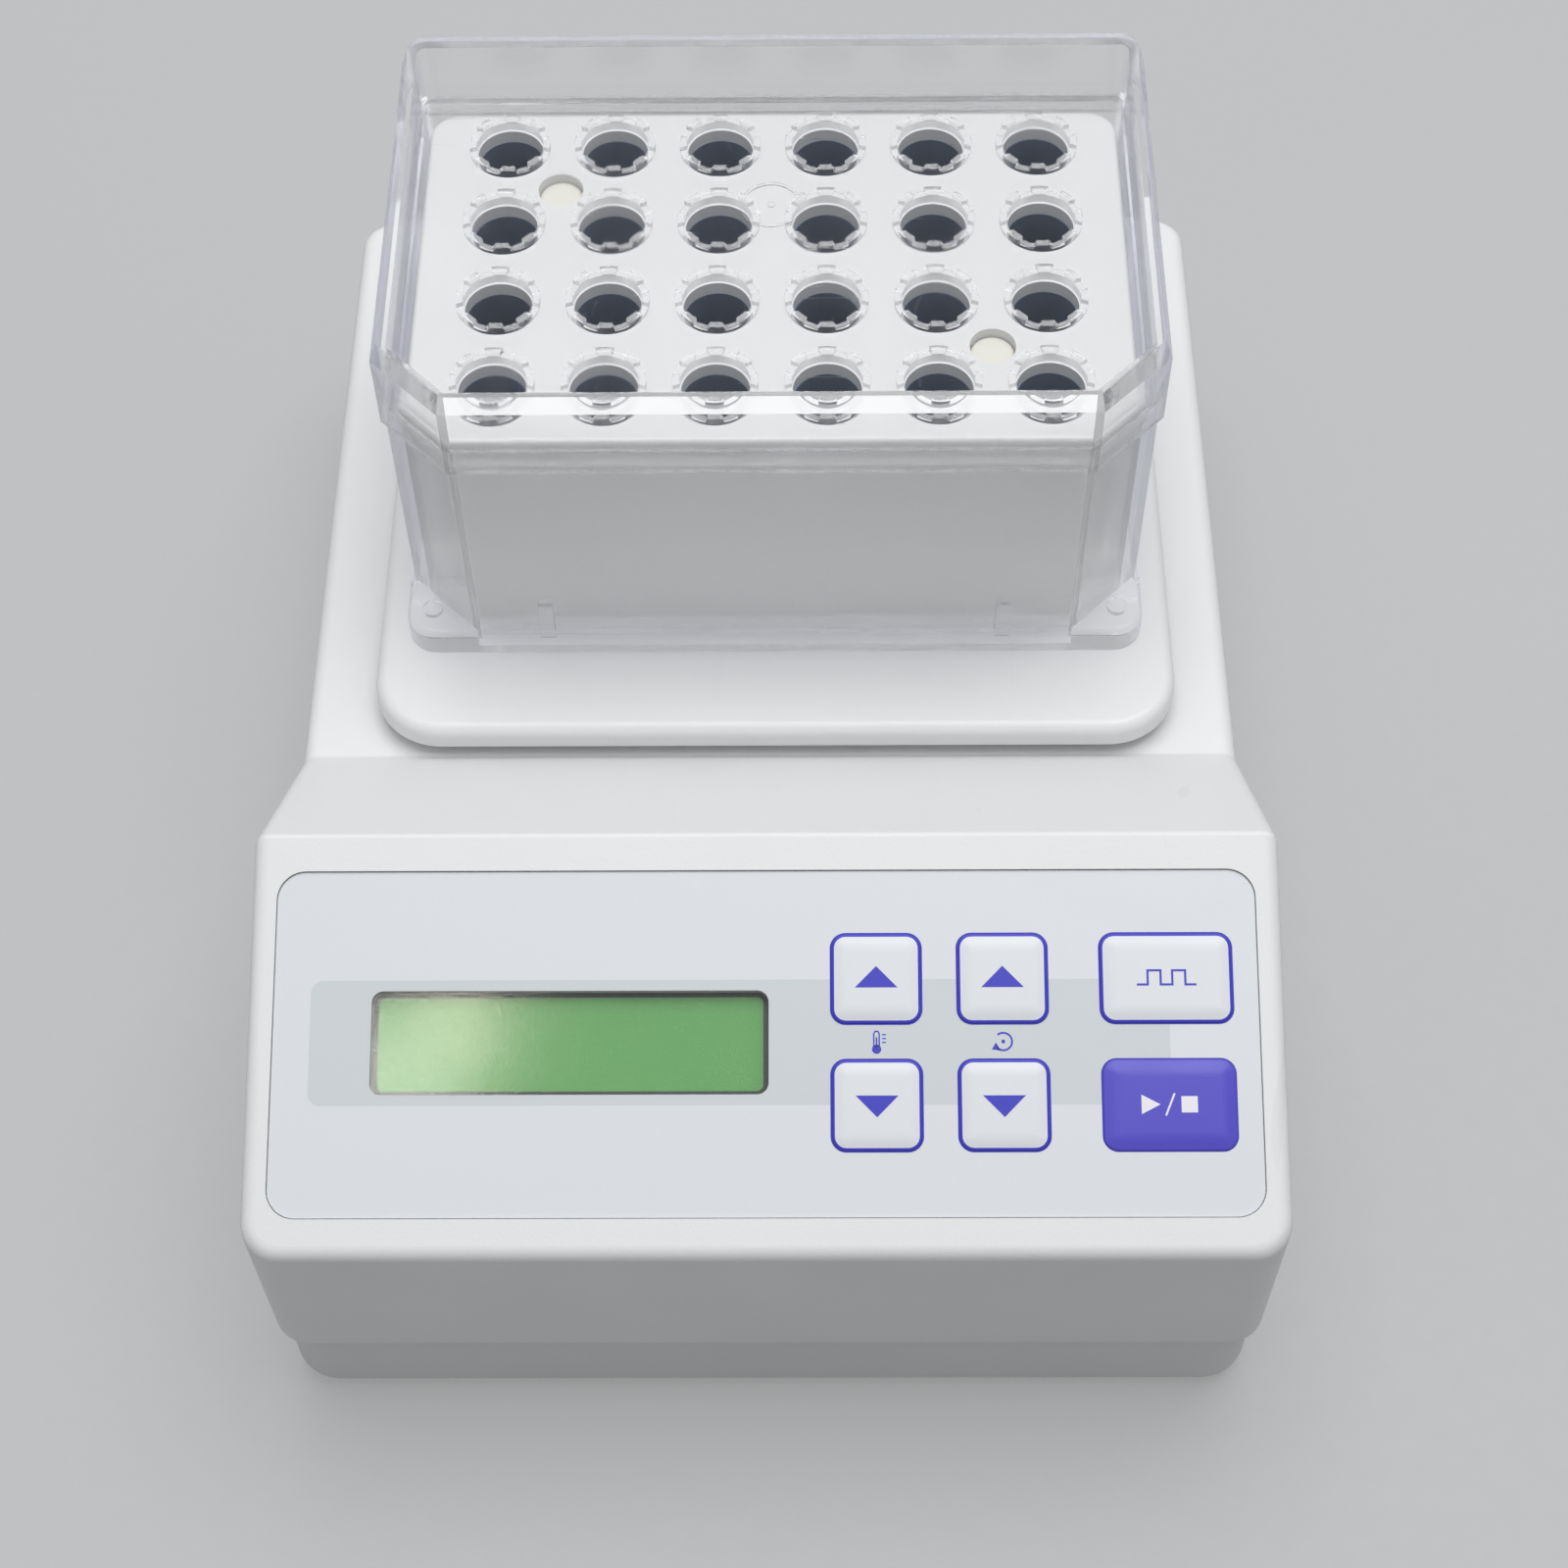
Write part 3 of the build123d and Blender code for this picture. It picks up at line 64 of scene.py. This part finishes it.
# ---- Materials ---------------------------------------------------------------------------------
class Look:
    """A material under construction, placed by the object's own coordinates in metres."""

    def __init__(self, name, colour, roughness, **values):
        self.material = bpy.data.materials.new(name)
        self.material.use_nodes = True
        self.tree = self.material.node_tree
        self.shader = self.tree.nodes["Principled BSDF"]
        self.place = self.node("TexCoord").outputs["Object"]
        self.colour = (*colour, 1)
        self.shader.inputs["Base Color"].default_value = self.colour
        self.shader.inputs["Roughness"].default_value = roughness
        for socket, value in values.items():
            self.shader.inputs[socket.replace("_", " ")].default_value = value
        self.roughness = roughness
        self.normal = None

    def node(self, kind, settings=None, inputs=None):
        made = self.tree.nodes.new("ShaderNode" + kind)
        for name, value in (settings or {}).items():
            setattr(made, name, value)
        for name, value in (inputs or {}).items():
            if isinstance(value, bpy.types.NodeSocket):
                self.tree.links.new(value, made.inputs[name])
            elif value is not None:
                made.inputs[name].default_value = value
        return made

    def stretched(self, stretch):
        if stretch is None:
            return self.place
        inputs = {"Vector": self.place, "Scale": stretch}
        return self.node("Mapping", {"vector_type": "POINT"}, inputs).outputs["Vector"]

    def noise(self, scale, detail=3.0, stretch=None, distortion=0.0):
        inputs = {
            "Vector": self.stretched(stretch),
            "Scale": scale,
            "Detail": detail,
            "Distortion": distortion,
        }
        return self.node("TexNoise", None, inputs).outputs["Fac"]

    def cells(self, scale, stretch=None):
        inputs = {"Vector": self.stretched(stretch), "Scale": scale}
        return self.node("TexVoronoi", None, inputs).outputs["Distance"]

    def level(self, value, low, high, to_low=0.0, to_high=1.0):
        inputs = {
            "Value": value,
            "From Min": low,
            "From Max": high,
            "To Min": to_low,
            "To Max": to_high,
        }
        return self.node("MapRange", None, inputs).outputs["Result"]

    def maths(self, operation, a, b=None):
        return self.node("Math", {"operation": operation}, {0: a, 1: b}).outputs[0]

    def mixed(self, factor, a, b):
        inputs = {0: factor, 6: a, 7: b}
        return self.node("Mix", {"data_type": "RGBA"}, inputs).outputs[2]

    def vary(self, value, other):
        """Blends the colour so far towards another where value is 1."""
        other = (*other, 1) if not isinstance(other, bpy.types.NodeSocket) else other
        self.colour = self.mixed(value, self.colour, other)
        self.tree.links.new(self.colour, self.shader.inputs["Base Color"])
        return self

    def shade(self, value, low, high):
        """Roughness from low to high as value goes from 0 to 1."""
        self.roughness = self.level(value, 0, 1, low, high)
        self.tree.links.new(self.roughness, self.shader.inputs["Roughness"])
        return self

    def bump(self, height, depth_mm, strength=1.0):
        inputs = {
            "Height": height,
            "Distance": depth_mm * MM,
            "Strength": strength,
            "Normal": self.normal,
        }
        self.normal = self.node("Bump", None, inputs).outputs["Normal"]
        self.tree.links.new(self.normal, self.shader.inputs["Normal"])
        return self

    def lets_light_through(self, colour, edge, grazing=0.0):
        """Lamps shine through, and where a wall is seen edge on a share of every ray goes straight on."""
        path = self.node("LightPath")
        share = self.maths("MAXIMUM", path.outputs["Is Shadow Ray"], path.outputs["Is Diffuse Ray"])
        facing = self.node("LayerWeight", None, {"Blend": 0.5}).outputs["Facing"]
        share = self.maths("MAXIMUM", share, self.level(facing, 0.32, 0.42, 0, grazing))
        tint = self.mixed(self.level(facing, 0.7, 1.0), (*colour, 1), (*edge, 1))
        clear = self.node("BsdfTransparent", None, {"Color": tint})
        inputs = {0: share, 1: self.shader.outputs[0], 2: clear.outputs[0]}
        mixed = self.node("MixShader", None, inputs)
        output = self.tree.nodes["Material Output"]
        self.tree.links.new(mixed.outputs[0], output.inputs["Surface"])
        return self


def moulded(name, colour, grain=1900, depth=0.030, roughness=(0.42, 0.56), dust=0.5):
    """Moulded plastic: eroded mould grain, slow colour drift, rubbed patches and a few specks."""
    look = Look(name, colour, roughness[0])
    darker = tuple(c * 0.955 for c in colour)
    warmer = (colour[0], colour[1] * 0.975, colour[2] * 0.93)
    look.vary(look.level(look.noise(14, 2), 0.3, 0.7, 0, 0.45), darker)
    specks = look.level(look.noise(620, 1), 0.765, 0.80, 0, dust)
    look.vary(specks, warmer)
    hairlines = look.level(look.noise(170, 2, (1, 0.05, 0.3), 0.5), 0.735, 0.755, 0, 0.5 * dust)
    look.vary(hairlines, tuple(c * 0.8 for c in colour))
    look.shade(look.level(look.noise(60, 4), 0.35, 0.7), *roughness)
    look.bump(look.noise(grain, 2.5), depth)
    return look.bump(look.noise(260, 2), depth * 0.8)


def smooth_plastic(name, colour, roughness=(0.30, 0.36), scuffs=0.35):
    """Polished moulding with a faint ripple, fine rub marks and slight yellowing."""
    look = Look(name, colour, roughness[0])
    look.vary(look.level(look.noise(22, 3), 0.35, 0.7, 0, 0.2), tuple(c * 0.96 for c in colour))
    marks = look.level(look.noise(900, 3, (1, 0.06, 0.4)), 0.66, 0.76, 0, scuffs)
    look.vary(marks, tuple(c * 0.95 for c in colour))
    look.shade(look.level(look.noise(90, 3), 0.3, 0.75), *roughness)
    look.bump(marks, 0.004)
    return look.bump(look.noise(180, 1), 0.003)


def clear_plastic(name, edge, rubbed, shadow):
    """Clear polycarbonate: violet-blue where it is seen edge on, smears and hairline scratches."""
    look = Look(name, (0.996, 0.996, 0.998), 0.03, Transmission_Weight=1.0, IOR=1.32)
    facing = look.node("LayerWeight", None, {"Blend": 0.28}).outputs["Facing"]
    look.vary(look.level(facing, 0.6, 1.0, 0, 0.6), edge)
    smears = look.level(look.noise(38, 5, None, 0.8), 0.52, 0.72)
    hairlines = look.level(look.noise(1500, 2, (0.03, 1, 0.6)), 0.70, 0.74)
    look.shade(look.maths("MAXIMUM", smears, hairlines), 0.025, rubbed)
    look.bump(hairlines, 0.004)
    look.bump(look.noise(70, 1), 0.008, 0.6)
    return look.lets_light_through(shadow, edge, 0.45)


def metal(name, colour, lay, roughness=(0.24, 0.42), depth=0.008, metallic=1.0):
    """Machined metal: tool marks stretched along the lay, stains and a few scratches."""
    look = Look(name, colour, roughness[0], Metallic=metallic)
    look.vary(look.level(look.noise(45, 4), 0.4, 0.7, 0, 0.5), tuple(c * 0.8 for c in colour))
    marks = look.noise(700, 3, lay)
    scratches = look.level(look.noise(420, 4, (1, 0.05, 0.3), 0.6), 0.66, 0.70)
    look.vary(scratches, tuple(min(1, c * 1.45) for c in colour))
    look.shade(look.level(marks, 0.3, 0.7), *roughness)
    look.bump(scratches, depth * 0.6)
    return look.bump(marks, depth)


def cast(name, colour):
    look = Look(name, colour, 0.45, Metallic=0.9)
    look.vary(look.level(look.noise(120, 5), 0.4, 0.7), tuple(c * 0.82 for c in colour))
    look.shade(look.noise(300, 4), 0.38, 0.62)
    look.bump(look.cells(900), 0.03, 0.7)
    return look.bump(look.noise(2400, 2), 0.02)


def coated(name, colour, roughness, grain, depth, metallic=0.0, lay=None):
    """Rubber, foam, laminate or varnish: one grain, mottled colour, uneven gloss."""
    look = Look(name, colour, roughness, Metallic=metallic)
    grains = look.noise(grain, 3, lay)
    look.vary(look.level(grains, 0.35, 0.75, 0, 0.5), tuple(c * 0.75 for c in colour))
    lighter = tuple(min(1, c * 1.25) for c in colour)
    look.vary(look.level(look.noise(40, 3), 0.45, 0.7, 0, 0.4), lighter)
    look.shade(look.noise(80, 4), roughness * 0.8, min(1, roughness * 1.2))
    return look.bump(grains, depth)


# ---- The sloped panel --------------------------------------------------------------------------
front_y, ridge_y, lip_z, ridge_z = -112.0, -50.8, 54.9, 78.4
slope = atan2(ridge_z - lip_z, ridge_y - front_y)
panel_middle = Vector((0, (front_y + ridge_y) / 2, (lip_z + ridge_z) / 2))
panel_turn = Matrix.Rotation(slope, 3, "X")
label_top = -0.4  # the film's face, below the panel's plane
window_size = (61.4, 16.1)
window_x = -30.2
band_left, band_right, band_half, band_round = -70.4, 62.3, 9.75, 2.0
BAND_EDGE = 0.06  # width of the print's soft edge
key_height, key_radius = 13.9, 2.2
keys = {  # middle across and up the slope, width, and the way the arrow points
    "key_temp_up": (17.1, 9.8, 13.8, 1),
    "key_temp_down": (17.1, -9.8, 13.8, -1),
    "key_speed_up": (36.6, 9.8, 13.8, 1),
    "key_speed_down": (36.6, -9.8, 13.8, -1),
    "key_pulse": (61.9, 9.8, 20.3, 0),
    "key_start_stop": (61.9, -9.8, 20.3, 0),
}


def on_panel(x, y, z):
    """Millimetres on the panel, across, up the slope and out of it, to metres in the frame."""
    return (panel_middle + panel_turn @ Vector((x, y, z))) * MM


def printed_sheet(name, plain, band):
    """Printed film: a grey band across it, satin texture, faint fingerprints near the keys."""
    look = Look(name, plain, 0.4, Coat_Weight=0.15, Coat_Roughness=0.35)
    inputs = {"Vector": look.place, "Location": -panel_middle * MM}
    moved = look.node("Mapping", None, inputs).outputs["Vector"]
    inputs = {"Vector": moved, "Rotation": (-slope, 0, 0)}
    flat = look.node("Mapping", None, inputs).outputs["Vector"]
    axes = look.node("SeparateXYZ", None, {0: flat})
    across, up = axes.outputs["X"], axes.outputs["Y"]
    middle = (band_left + band_right) / 2
    half = (band_right - band_left) / 2
    aside = look.maths("ABSOLUTE", look.maths("SUBTRACT", across, middle * MM))
    above = look.maths("ABSOLUTE", up)
    dx = look.maths("MAXIMUM", look.maths("SUBTRACT", aside, (half - band_round) * MM), 0.0)
    dy = look.maths("MAXIMUM", look.maths("SUBTRACT", above, (band_half - band_round) * MM), 0.0)
    squares = [look.maths("POWER", d, 2.0) for d in (dx, dy)]
    away = look.maths("SQRT", look.maths("ADD", *squares))
    inside = look.level(away, band_round * MM, (band_round - BAND_EDGE) * MM)
    look.vary(inside, band)
    look.vary(look.level(look.noise(2600, 2), 0.3, 0.8, 0, 0.12), tuple(c * 0.9 for c in plain))
    smears = look.level(look.noise(55, 5, None, 1.2), 0.5, 0.75)
    look.shade(smears, 0.36, 0.48)
    return look.bump(look.noise(3200, 2), 0.010)


looks = {
    "housing": moulded("housing", (0.79, 0.796, 0.80)),
    # The pan is the housing's grey-white, set darker here: painted shade for its place low under the
    # body.
    "pan": moulded("pan", (0.715, 0.725, 0.735), dust=0.7),
    "label": printed_sheet("label", (0.705, 0.73, 0.76), (0.59, 0.63, 0.65)),
    "key_white": moulded("key_white", (0.74, 0.76, 0.79), 2600, 0.008, (0.34, 0.42), 0.2),
    "key_violet": moulded("key_violet", (0.085, 0.07, 0.56), 2600, 0.012, (0.30, 0.42), 0.2),
    "dark_plastic": moulded("dark_plastic", (0.035, 0.036, 0.04), 1500, 0.03, (0.42, 0.6), 0.3),
    "white_plastic": smooth_plastic("white_plastic", (0.79, 0.795, 0.795)),
    "cream_plastic": smooth_plastic("cream_plastic", (0.80, 0.79, 0.71), (0.3, 0.42)),
    "clear": clear_plastic("clear", (0.78, 0.79, 0.93), 0.12, (0.976, 0.976, 0.978)),
    # The block's blue-grey is partly its own tint and partly painted shade: darkened further to stand for
    # the shade deep in the wells.
    "alu": metal("alu", (0.20, 0.25, 0.36), (0.12, 0.12, 6.0), (0.34, 0.55), 0.008, 0.5),
    "cast_alu": cast("cast_alu", (0.62, 0.62, 0.63)),
    "steel": metal("steel", (0.56, 0.56, 0.57), (0.2, 0.2, 5.0)),
    "bearing_steel": metal("bearing_steel", (0.66, 0.66, 0.67), (3.0, 3.0, 0.2), (0.12, 0.26), 0.003),
    "pins": metal("pins", (0.68, 0.68, 0.67), (0.3, 4.0, 0.3), (0.14, 0.3), 0.003),
    "rubber": coated("rubber", (0.028, 0.028, 0.03), 0.75, 900, 0.04),
    "board": coated("board", (0.03, 0.17, 0.08), 0.35, 500, 0.03),
    "copper": coated("copper", (0.62, 0.27, 0.12), 0.3, 1400, 0.10, 0.9, (0.05, 1, 1)),
    "iron": coated("iron", (0.11, 0.11, 0.12), 0.5, 2600, 0.04, 0.8, (0.1, 0.1, 1)),
    "magnet": coated("magnet", (0.14, 0.14, 0.15), 0.4, 800, 0.02, 0.6),
    "foam": coated("foam", (0.52, 0.49, 0.42), 0.85, 1100, 0.12),
    "foil": coated("foil", (0.62, 0.30, 0.06), 0.3, 600, 0.02, 0.2),
}

# The display: a green glass behind a window with an anti-glare face.
window = Look("window", (0.97, 0.99, 0.98), 0.14, Transmission_Weight=1.0, IOR=1.45)
window.shade(window.noise(2400, 2), 0.06, 0.10)
window.bump(window.noise(1900, 1), 0.009)
looks["window"] = window.lets_light_through((0.96, 0.97, 0.965), (0.90, 0.92, 0.91))
display = Look("display", (0.10, 0.355, 0.085), 0.3)
display.vary(display.level(display.noise(30, 2), 0.35, 0.65, 0, 0.5), (0.16, 0.36, 0.10))
# The light green specks are painted sparkle: glints of the anti-glare face put into the display's colour.
display.vary(display.level(display.noise(3000, 1), 0.66, 0.74, 0, 0.5), (0.30, 0.58, 0.28))
looks["display"] = display.shade(display.noise(900, 2), 0.28, 0.42).bump(display.noise(2800, 1), 0.02)

ink = moulded("violet_ink", (0.04, 0.04, 0.53), 3000, 0.004, (0.36, 0.46), 0.1)
white_ink = moulded("white_ink", (0.82, 0.82, 0.87), 3000, 0.004, (0.36, 0.46), 0.1)

slot_of = {p["node"]: p["material_slot"] for p in frame["record"]["subparts"]}
for name, node in frame["nodes"].items():
    material = looks[slot_of[name]].material
    if not node.material_slots:
        node.data.materials.append(material)
    for place in node.material_slots:
        place.material = material


# ---- Pieces on the panel -----------------------------------------------------------------------
def piece(name, points, faces, materials, body, smooth=True):
    """Mesh piece that rides on a body. faces is a list of (corner numbers, material number)."""
    mesh = bpy.data.meshes.new(name)
    mesh.from_pydata([tuple(p) for p in points], [], [corners for corners, number in faces])
    for material in materials:
        mesh.materials.append(material)
    for polygon, (corners, number) in zip(mesh.polygons, faces):
        polygon.material_index = number
        polygon.use_smooth = smooth
    mesh.update()
    made = bpy.data.objects.new(name, mesh)
    scene.collection.objects.link(made)
    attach(made, body)
    return made


def rounded(width, height, radius, steps=7):
    """Points round a rectangle with rounded corners, anticlockwise from the lower right."""
    ring = []
    for turn, (sx, sy) in enumerate(((1, -1), (1, 1), (-1, 1), (-1, -1))):
        cx, cy = sx * (width / 2 - radius), sy * (height / 2 - radius)
        for i in range(steps):
            angle = (turn - 1) * pi / 2 + pi / 2 * i / (steps - 1)
            ring.append((cx + radius * cos(angle), cy + radius * sin(angle)))
    return ring


def skinned(rings):
    """Faces that join rings of equal length, first outwards, and close the last one."""
    count = len(rings[0])
    faces = []
    for level in range(len(rings) - 1):
        for i in range(count):
            a, b = level * count + i, level * count + (i + 1) % count
            faces.append((a, b, b + count, a + count))
    faces.append(tuple((len(rings) - 1) * count + i for i in range(count)))
    return faces


DOME = (  # growth of the key's outline and height over the panel, in mm
    (0.04, -0.80),
    (0.04, -0.33),
    (0.00, -0.24),
    (-0.10, -0.17),
    (-0.42, -0.12),
    (-0.80, -0.02),
    (-1.25, 0.10),
    (-1.75, 0.19),
    (-2.30, 0.235),
    (-2.80, 0.245),
)
OUTLINE_RINGS = 4  # rings of the dome, from the lowest, that carry the violet outline
SEAL_EDGES = (0.06, 0.235)  # growth of the key's outline to the seal's two edges
SEAL_BOTTOM, SEAL_TOP = -0.52, -0.45
dome_top = DOME[-1][1]


def flat_ring(name, x, y, outer, inner, bottom, top, look):
    """Flat ring between two outlines, standing on the panel and riding the base."""
    points = [
        on_panel(x + px, y + py, z)
        for ring, z in ((outer, bottom), (outer, top), (inner, top), (inner, bottom))
        for px, py in ring
    ]
    faces = [(face, 0) for face in skinned([outer] * 4)[:-1]]
    return piece(name, points, faces, [look.material], "base", False)


for name, (x, y, width, direction) in keys.items():
    rings = []
    for grow, z in DOME:
        radius = max(key_radius + grow, 0.5)
        ring = rounded(width + 2 * grow, key_height + 2 * grow, radius)
        rings.append([on_panel(x + px, y + py, z) for px, py in ring])
    solid = name == "key_start_stop"
    slot = "key_violet" if solid else "key_white"
    count = len(rings[0])
    faces = [
        (face, 0 if solid or i >= OUTLINE_RINGS * count else 1)
        for i, face in enumerate(skinned(rings))
    ]
    points = [p for ring in rings for p in ring]
    piece(f"dome_{name}", points, faces, [looks[slot].material, ink.material], name)
    # Violet seal that fills the slit round the key, just under the film.
    inner, outer = [
        rounded(width + 2 * grow, key_height + 2 * grow, key_radius + grow) for grow in SEAL_EDGES
    ]
    flat_ring(f"seal_{name}", x, y, outer, inner, SEAL_BOTTOM, SEAL_TOP, ink)


PRINT_SUNK, PRINT_RAISED = 0.03, 0.012


def printed(name, shapes, z, look, body):
    """Thin raised print. shapes is a list of convex outlines in panel millimetres."""
    points, faces = [], []
    for outline in shapes:
        start = len(points)
        count = len(outline)
        for height in (z - PRINT_SUNK, z + PRINT_RAISED):
            points += [on_panel(px, py, height) for px, py in outline]
        faces.append((tuple(start + count + i for i in range(count)), 0))
        for i in range(count):
            j = (i + 1) % count
            faces.append(((start + i, start + j, start + count + j, start + count + i), 0))
    return piece(name, points, faces, [look.material], body, False)


def line(route, width):
    """Convex outlines of a mitred line along a route."""
    sides = []
    for i, (x, y) in enumerate(route):
        before = route[max(i - 1, 0)]
        after = route[min(i + 1, len(route) - 1)]
        into = Vector((x - before[0], y - before[1]))
        out = Vector((after[0] - x, after[1] - y))
        into = (into if into.length else out).normalized()
        out = (out if out.length else into).normalized()
        along = (into + out).normalized()
        normal = Vector((-along.y, along.x))
        reach = width / 2 / max(normal.dot(Vector((-into.y, into.x))), 0.4)
        sides.append(((x + normal.x * reach, y + normal.y * reach),
                      (x - normal.x * reach, y - normal.y * reach)))
    return [[a[1], b[1], b[0], a[0]] for a, b in zip(sides, sides[1:])]


def disc(x, y, radius, steps=20):
    return [(x + radius * cos(2 * pi * i / steps), y + radius * sin(2 * pi * i / steps))
            for i in range(steps)]


def arc(x, y, radius, start, end, steps=22):
    angles = [radians(start + (end - start) * i / steps) for i in range(steps + 1)]
    return [(x + radius * cos(a), y + radius * sin(a)) for a in angles]


ARROW_HALF_WIDTH, ARROW_TIP, ARROW_FOOT = 3.3, 1.90, 1.45
for name, (x, y, width, direction) in keys.items():
    if direction:
        tip, foot = ARROW_TIP * direction, -ARROW_FOOT * direction
        left, right = x - ARROW_HALF_WIDTH, x + ARROW_HALF_WIDTH
        corners = [(left, y + foot), (right, y + foot), (x, y + tip)]
        if direction < 0:
            corners.reverse()
        printed(f"arrow_{name}", [corners], dome_top, ink, name)

# Where the words stand on the real one: a thermometer, a turning arrow, a pulse and run or halt.
x = keys["key_temp_up"][0]
stem = line([(x - 0.42, -0.75), (x - 0.42, 1.25), (x - 0.22, 1.62), (x + 0.22, 1.62),
             (x + 0.42, 1.25), (x + 0.42, -0.75)], 0.22)
mark = [disc(x, -1.15, 0.72)] + line([(x, -1.0), (x, 0.7)], 0.26)
scale = [s for y in (1.1, 0.5, -0.1) for s in line([(x + 0.85, y), (x + 1.45, y)], 0.2)]
printed("mark_temperature", stem + mark + scale, label_top, ink, "base")

x = keys["key_speed_up"][0]
turn = line(arc(x, 0, 1.35, 130, -140), 0.3)
tip = (x + 1.35 * cos(radians(-140)), 1.35 * sin(radians(-140)))
head = [(tip[0] - 0.75, tip[1] - 0.35), (tip[0] + 0.65, tip[1] - 0.55), (tip[0] - 0.1, tip[1] + 0.75)]
printed("mark_speed", turn + [head, disc(x, 0, 0.3)], label_top, ink, "base")

x, y = keys["key_pulse"][:2]
wave = [(-4.6, -1.1), (-2.9, -1.1), (-2.9, 1.1), (-0.9, 1.1), (-0.9, -1.1), (0.9, -1.1),
        (0.9, 1.1), (2.9, 1.1), (2.9, -1.1), (4.6, -1.1)]
printed("mark_pulse", line([(x + px, y + py) for px, py in wave], 0.34), dome_top, ink,
        "key_pulse")

x, y = keys["key_start_stop"][:2]
run = [(x - 4.4, y - 1.5), (x - 1.5, y), (x - 4.4, y + 1.5)]
halt = [(x + 1.7, y - 1.25), (x + 4.2, y - 1.25), (x + 4.2, y + 1.25), (x + 1.7, y + 1.25)]
divide = line([(x - 0.7, y - 1.7), (x + 0.7, y + 1.7)], 0.3)
printed("mark_run_halt", [run, halt] + divide, dome_top, white_ink, "key_start_stop")

# Dark ring round the display's field, under the edge of the opening: painted shade that darkens the edges
# of the recess.
shade_ring_top, shade_ring_bottom = -2.815, -2.895
outer = rounded(window_size[0] + 2.0, window_size[1] + 2.0, 2.2)
inner = rounded(window_size[0] - 1.7, window_size[1] - 1.5, 1.0)
dark = looks["dark_plastic"]
flat_ring("display_shade_ring", window_x, 0, outer, inner, shade_ring_bottom, shade_ring_top, dark)


# ---- Floor and light ---------------------------------------------------------------------------
def staged_plane(name, size, z, look):
    half = size / 2
    mesh = bpy.data.meshes.new(name)
    mesh.from_pydata(
        [(-half, -half, z), (half, -half, z), (half, half, z), (-half, half, z)], [], [(0, 1, 2, 3)]
    )
    mesh.materials.append(look.material)
    made = bpy.data.objects.new(name, mesh)
    scene.collection.objects.link(made)


FLOOR_SIZE, FLOOR_GLOW = 12, 0.25  # metres; light given off towards rays that see the floor
floor = Look("floor", (0.25, 0.255, 0.265), 0.6, Emission_Color=(1, 1, 1, 1))
floor.vary(floor.level(floor.noise(3, 3), 0.35, 0.7, 0, 0.4), (0.23, 0.235, 0.245))
rays = floor.node("LightPath").outputs
mirrored = floor.maths("MAXIMUM", rays["Is Glossy Ray"], rays["Is Transmission Ray"])
seen = floor.maths("MAXIMUM", rays["Is Camera Ray"], mirrored)
glow = floor.maths("MULTIPLY", seen, FLOOR_GLOW)
floor.tree.links.new(glow, floor.shader.inputs["Emission Strength"])
floor.shade(floor.noise(220, 3), 0.52, 0.68).bump(floor.noise(900, 2), 0.03)
staged_plane("floor", FLOOR_SIZE, 0, floor)

world = bpy.data.worlds.new("studio")
world.use_nodes = True
scene.world = world
nodes, links = world.node_tree.nodes, world.node_tree.links
up = nodes.new("ShaderNodeSeparateXYZ")
links.new(nodes.new("ShaderNodeTexCoord").outputs["Generated"], up.inputs[0])
rise = nodes.new("ShaderNodeMapRange")
links.new(up.outputs["Z"], rise.inputs["Value"])
for socket, value in (("From Min", -0.05), ("From Max", 0.9), ("To Min", 0.16), ("To Max", 0.70)):
    rise.inputs[socket].default_value = value
sky = nodes["Background"]
sky.inputs["Color"].default_value = (0.98, 0.99, 1.0, 1)
links.new(rise.outputs["Result"], sky.inputs["Strength"])
backdrop = nodes.new("ShaderNodeBackground")
backdrop.inputs["Color"].default_value = (0.53, 0.535, 0.545, 1)
paths = nodes.new("ShaderNodeLightPath").outputs
share = paths["Is Camera Ray"]
for kind in ("Is Glossy Ray", "Is Transmission Ray"):
    either = nodes.new("ShaderNodeMath")
    either.operation = "MAXIMUM"
    links.new(share, either.inputs[0])
    links.new(paths[kind], either.inputs[1])
    share = either.outputs[0]
either = nodes.new("ShaderNodeMixShader")
for socket, value in zip(either.inputs, (share, sky.outputs[0], backdrop.outputs[0])):
    links.new(value, socket)
links.new(either.outputs[0], nodes["World Output"].inputs["Surface"])


def lamp(name, place, aim, width, depth, power, colour):
    data = bpy.data.lights.new(name, "AREA")
    data.shape = "RECTANGLE"
    data.color = colour
    data.size, data.size_y, data.energy = width, depth, power
    made = bpy.data.objects.new(name, data)
    scene.collection.objects.link(made)
    made.location = place
    toward = Vector(aim) - Vector(place)
    made.rotation_mode = "QUATERNION"
    made.rotation_quaternion = toward.to_track_quat("-Z", "Y")


white, warm, pale = (1, 1, 1), (1, 0.93, 0.76), (1, 0.95, 0.84)
LAMPS = (  # name, place, aim, width, depth, watts, colour
    ("overhead", (0.12, 0.26, 1.45), (0, 0, 0.06), 1.3, 1.0, 12.5, white),
    ("left_box", (-0.33, -0.47, 1.40), (-0.02, -0.05, 0.07), 0.17, 0.24, 0.14, white),
    # The two that show on the display's left.
    ("glare_a", (-0.215, -0.374, 1.374), (-0.048, -0.078, 0.068), 0.045, 0.045, 0.075, warm),
    ("glare_b", (-0.262, -0.410, 1.361), (-0.058, -0.086, 0.065), 0.10, 0.04, 0.10, pale),
)
for row in LAMPS:
    lamp(*row)
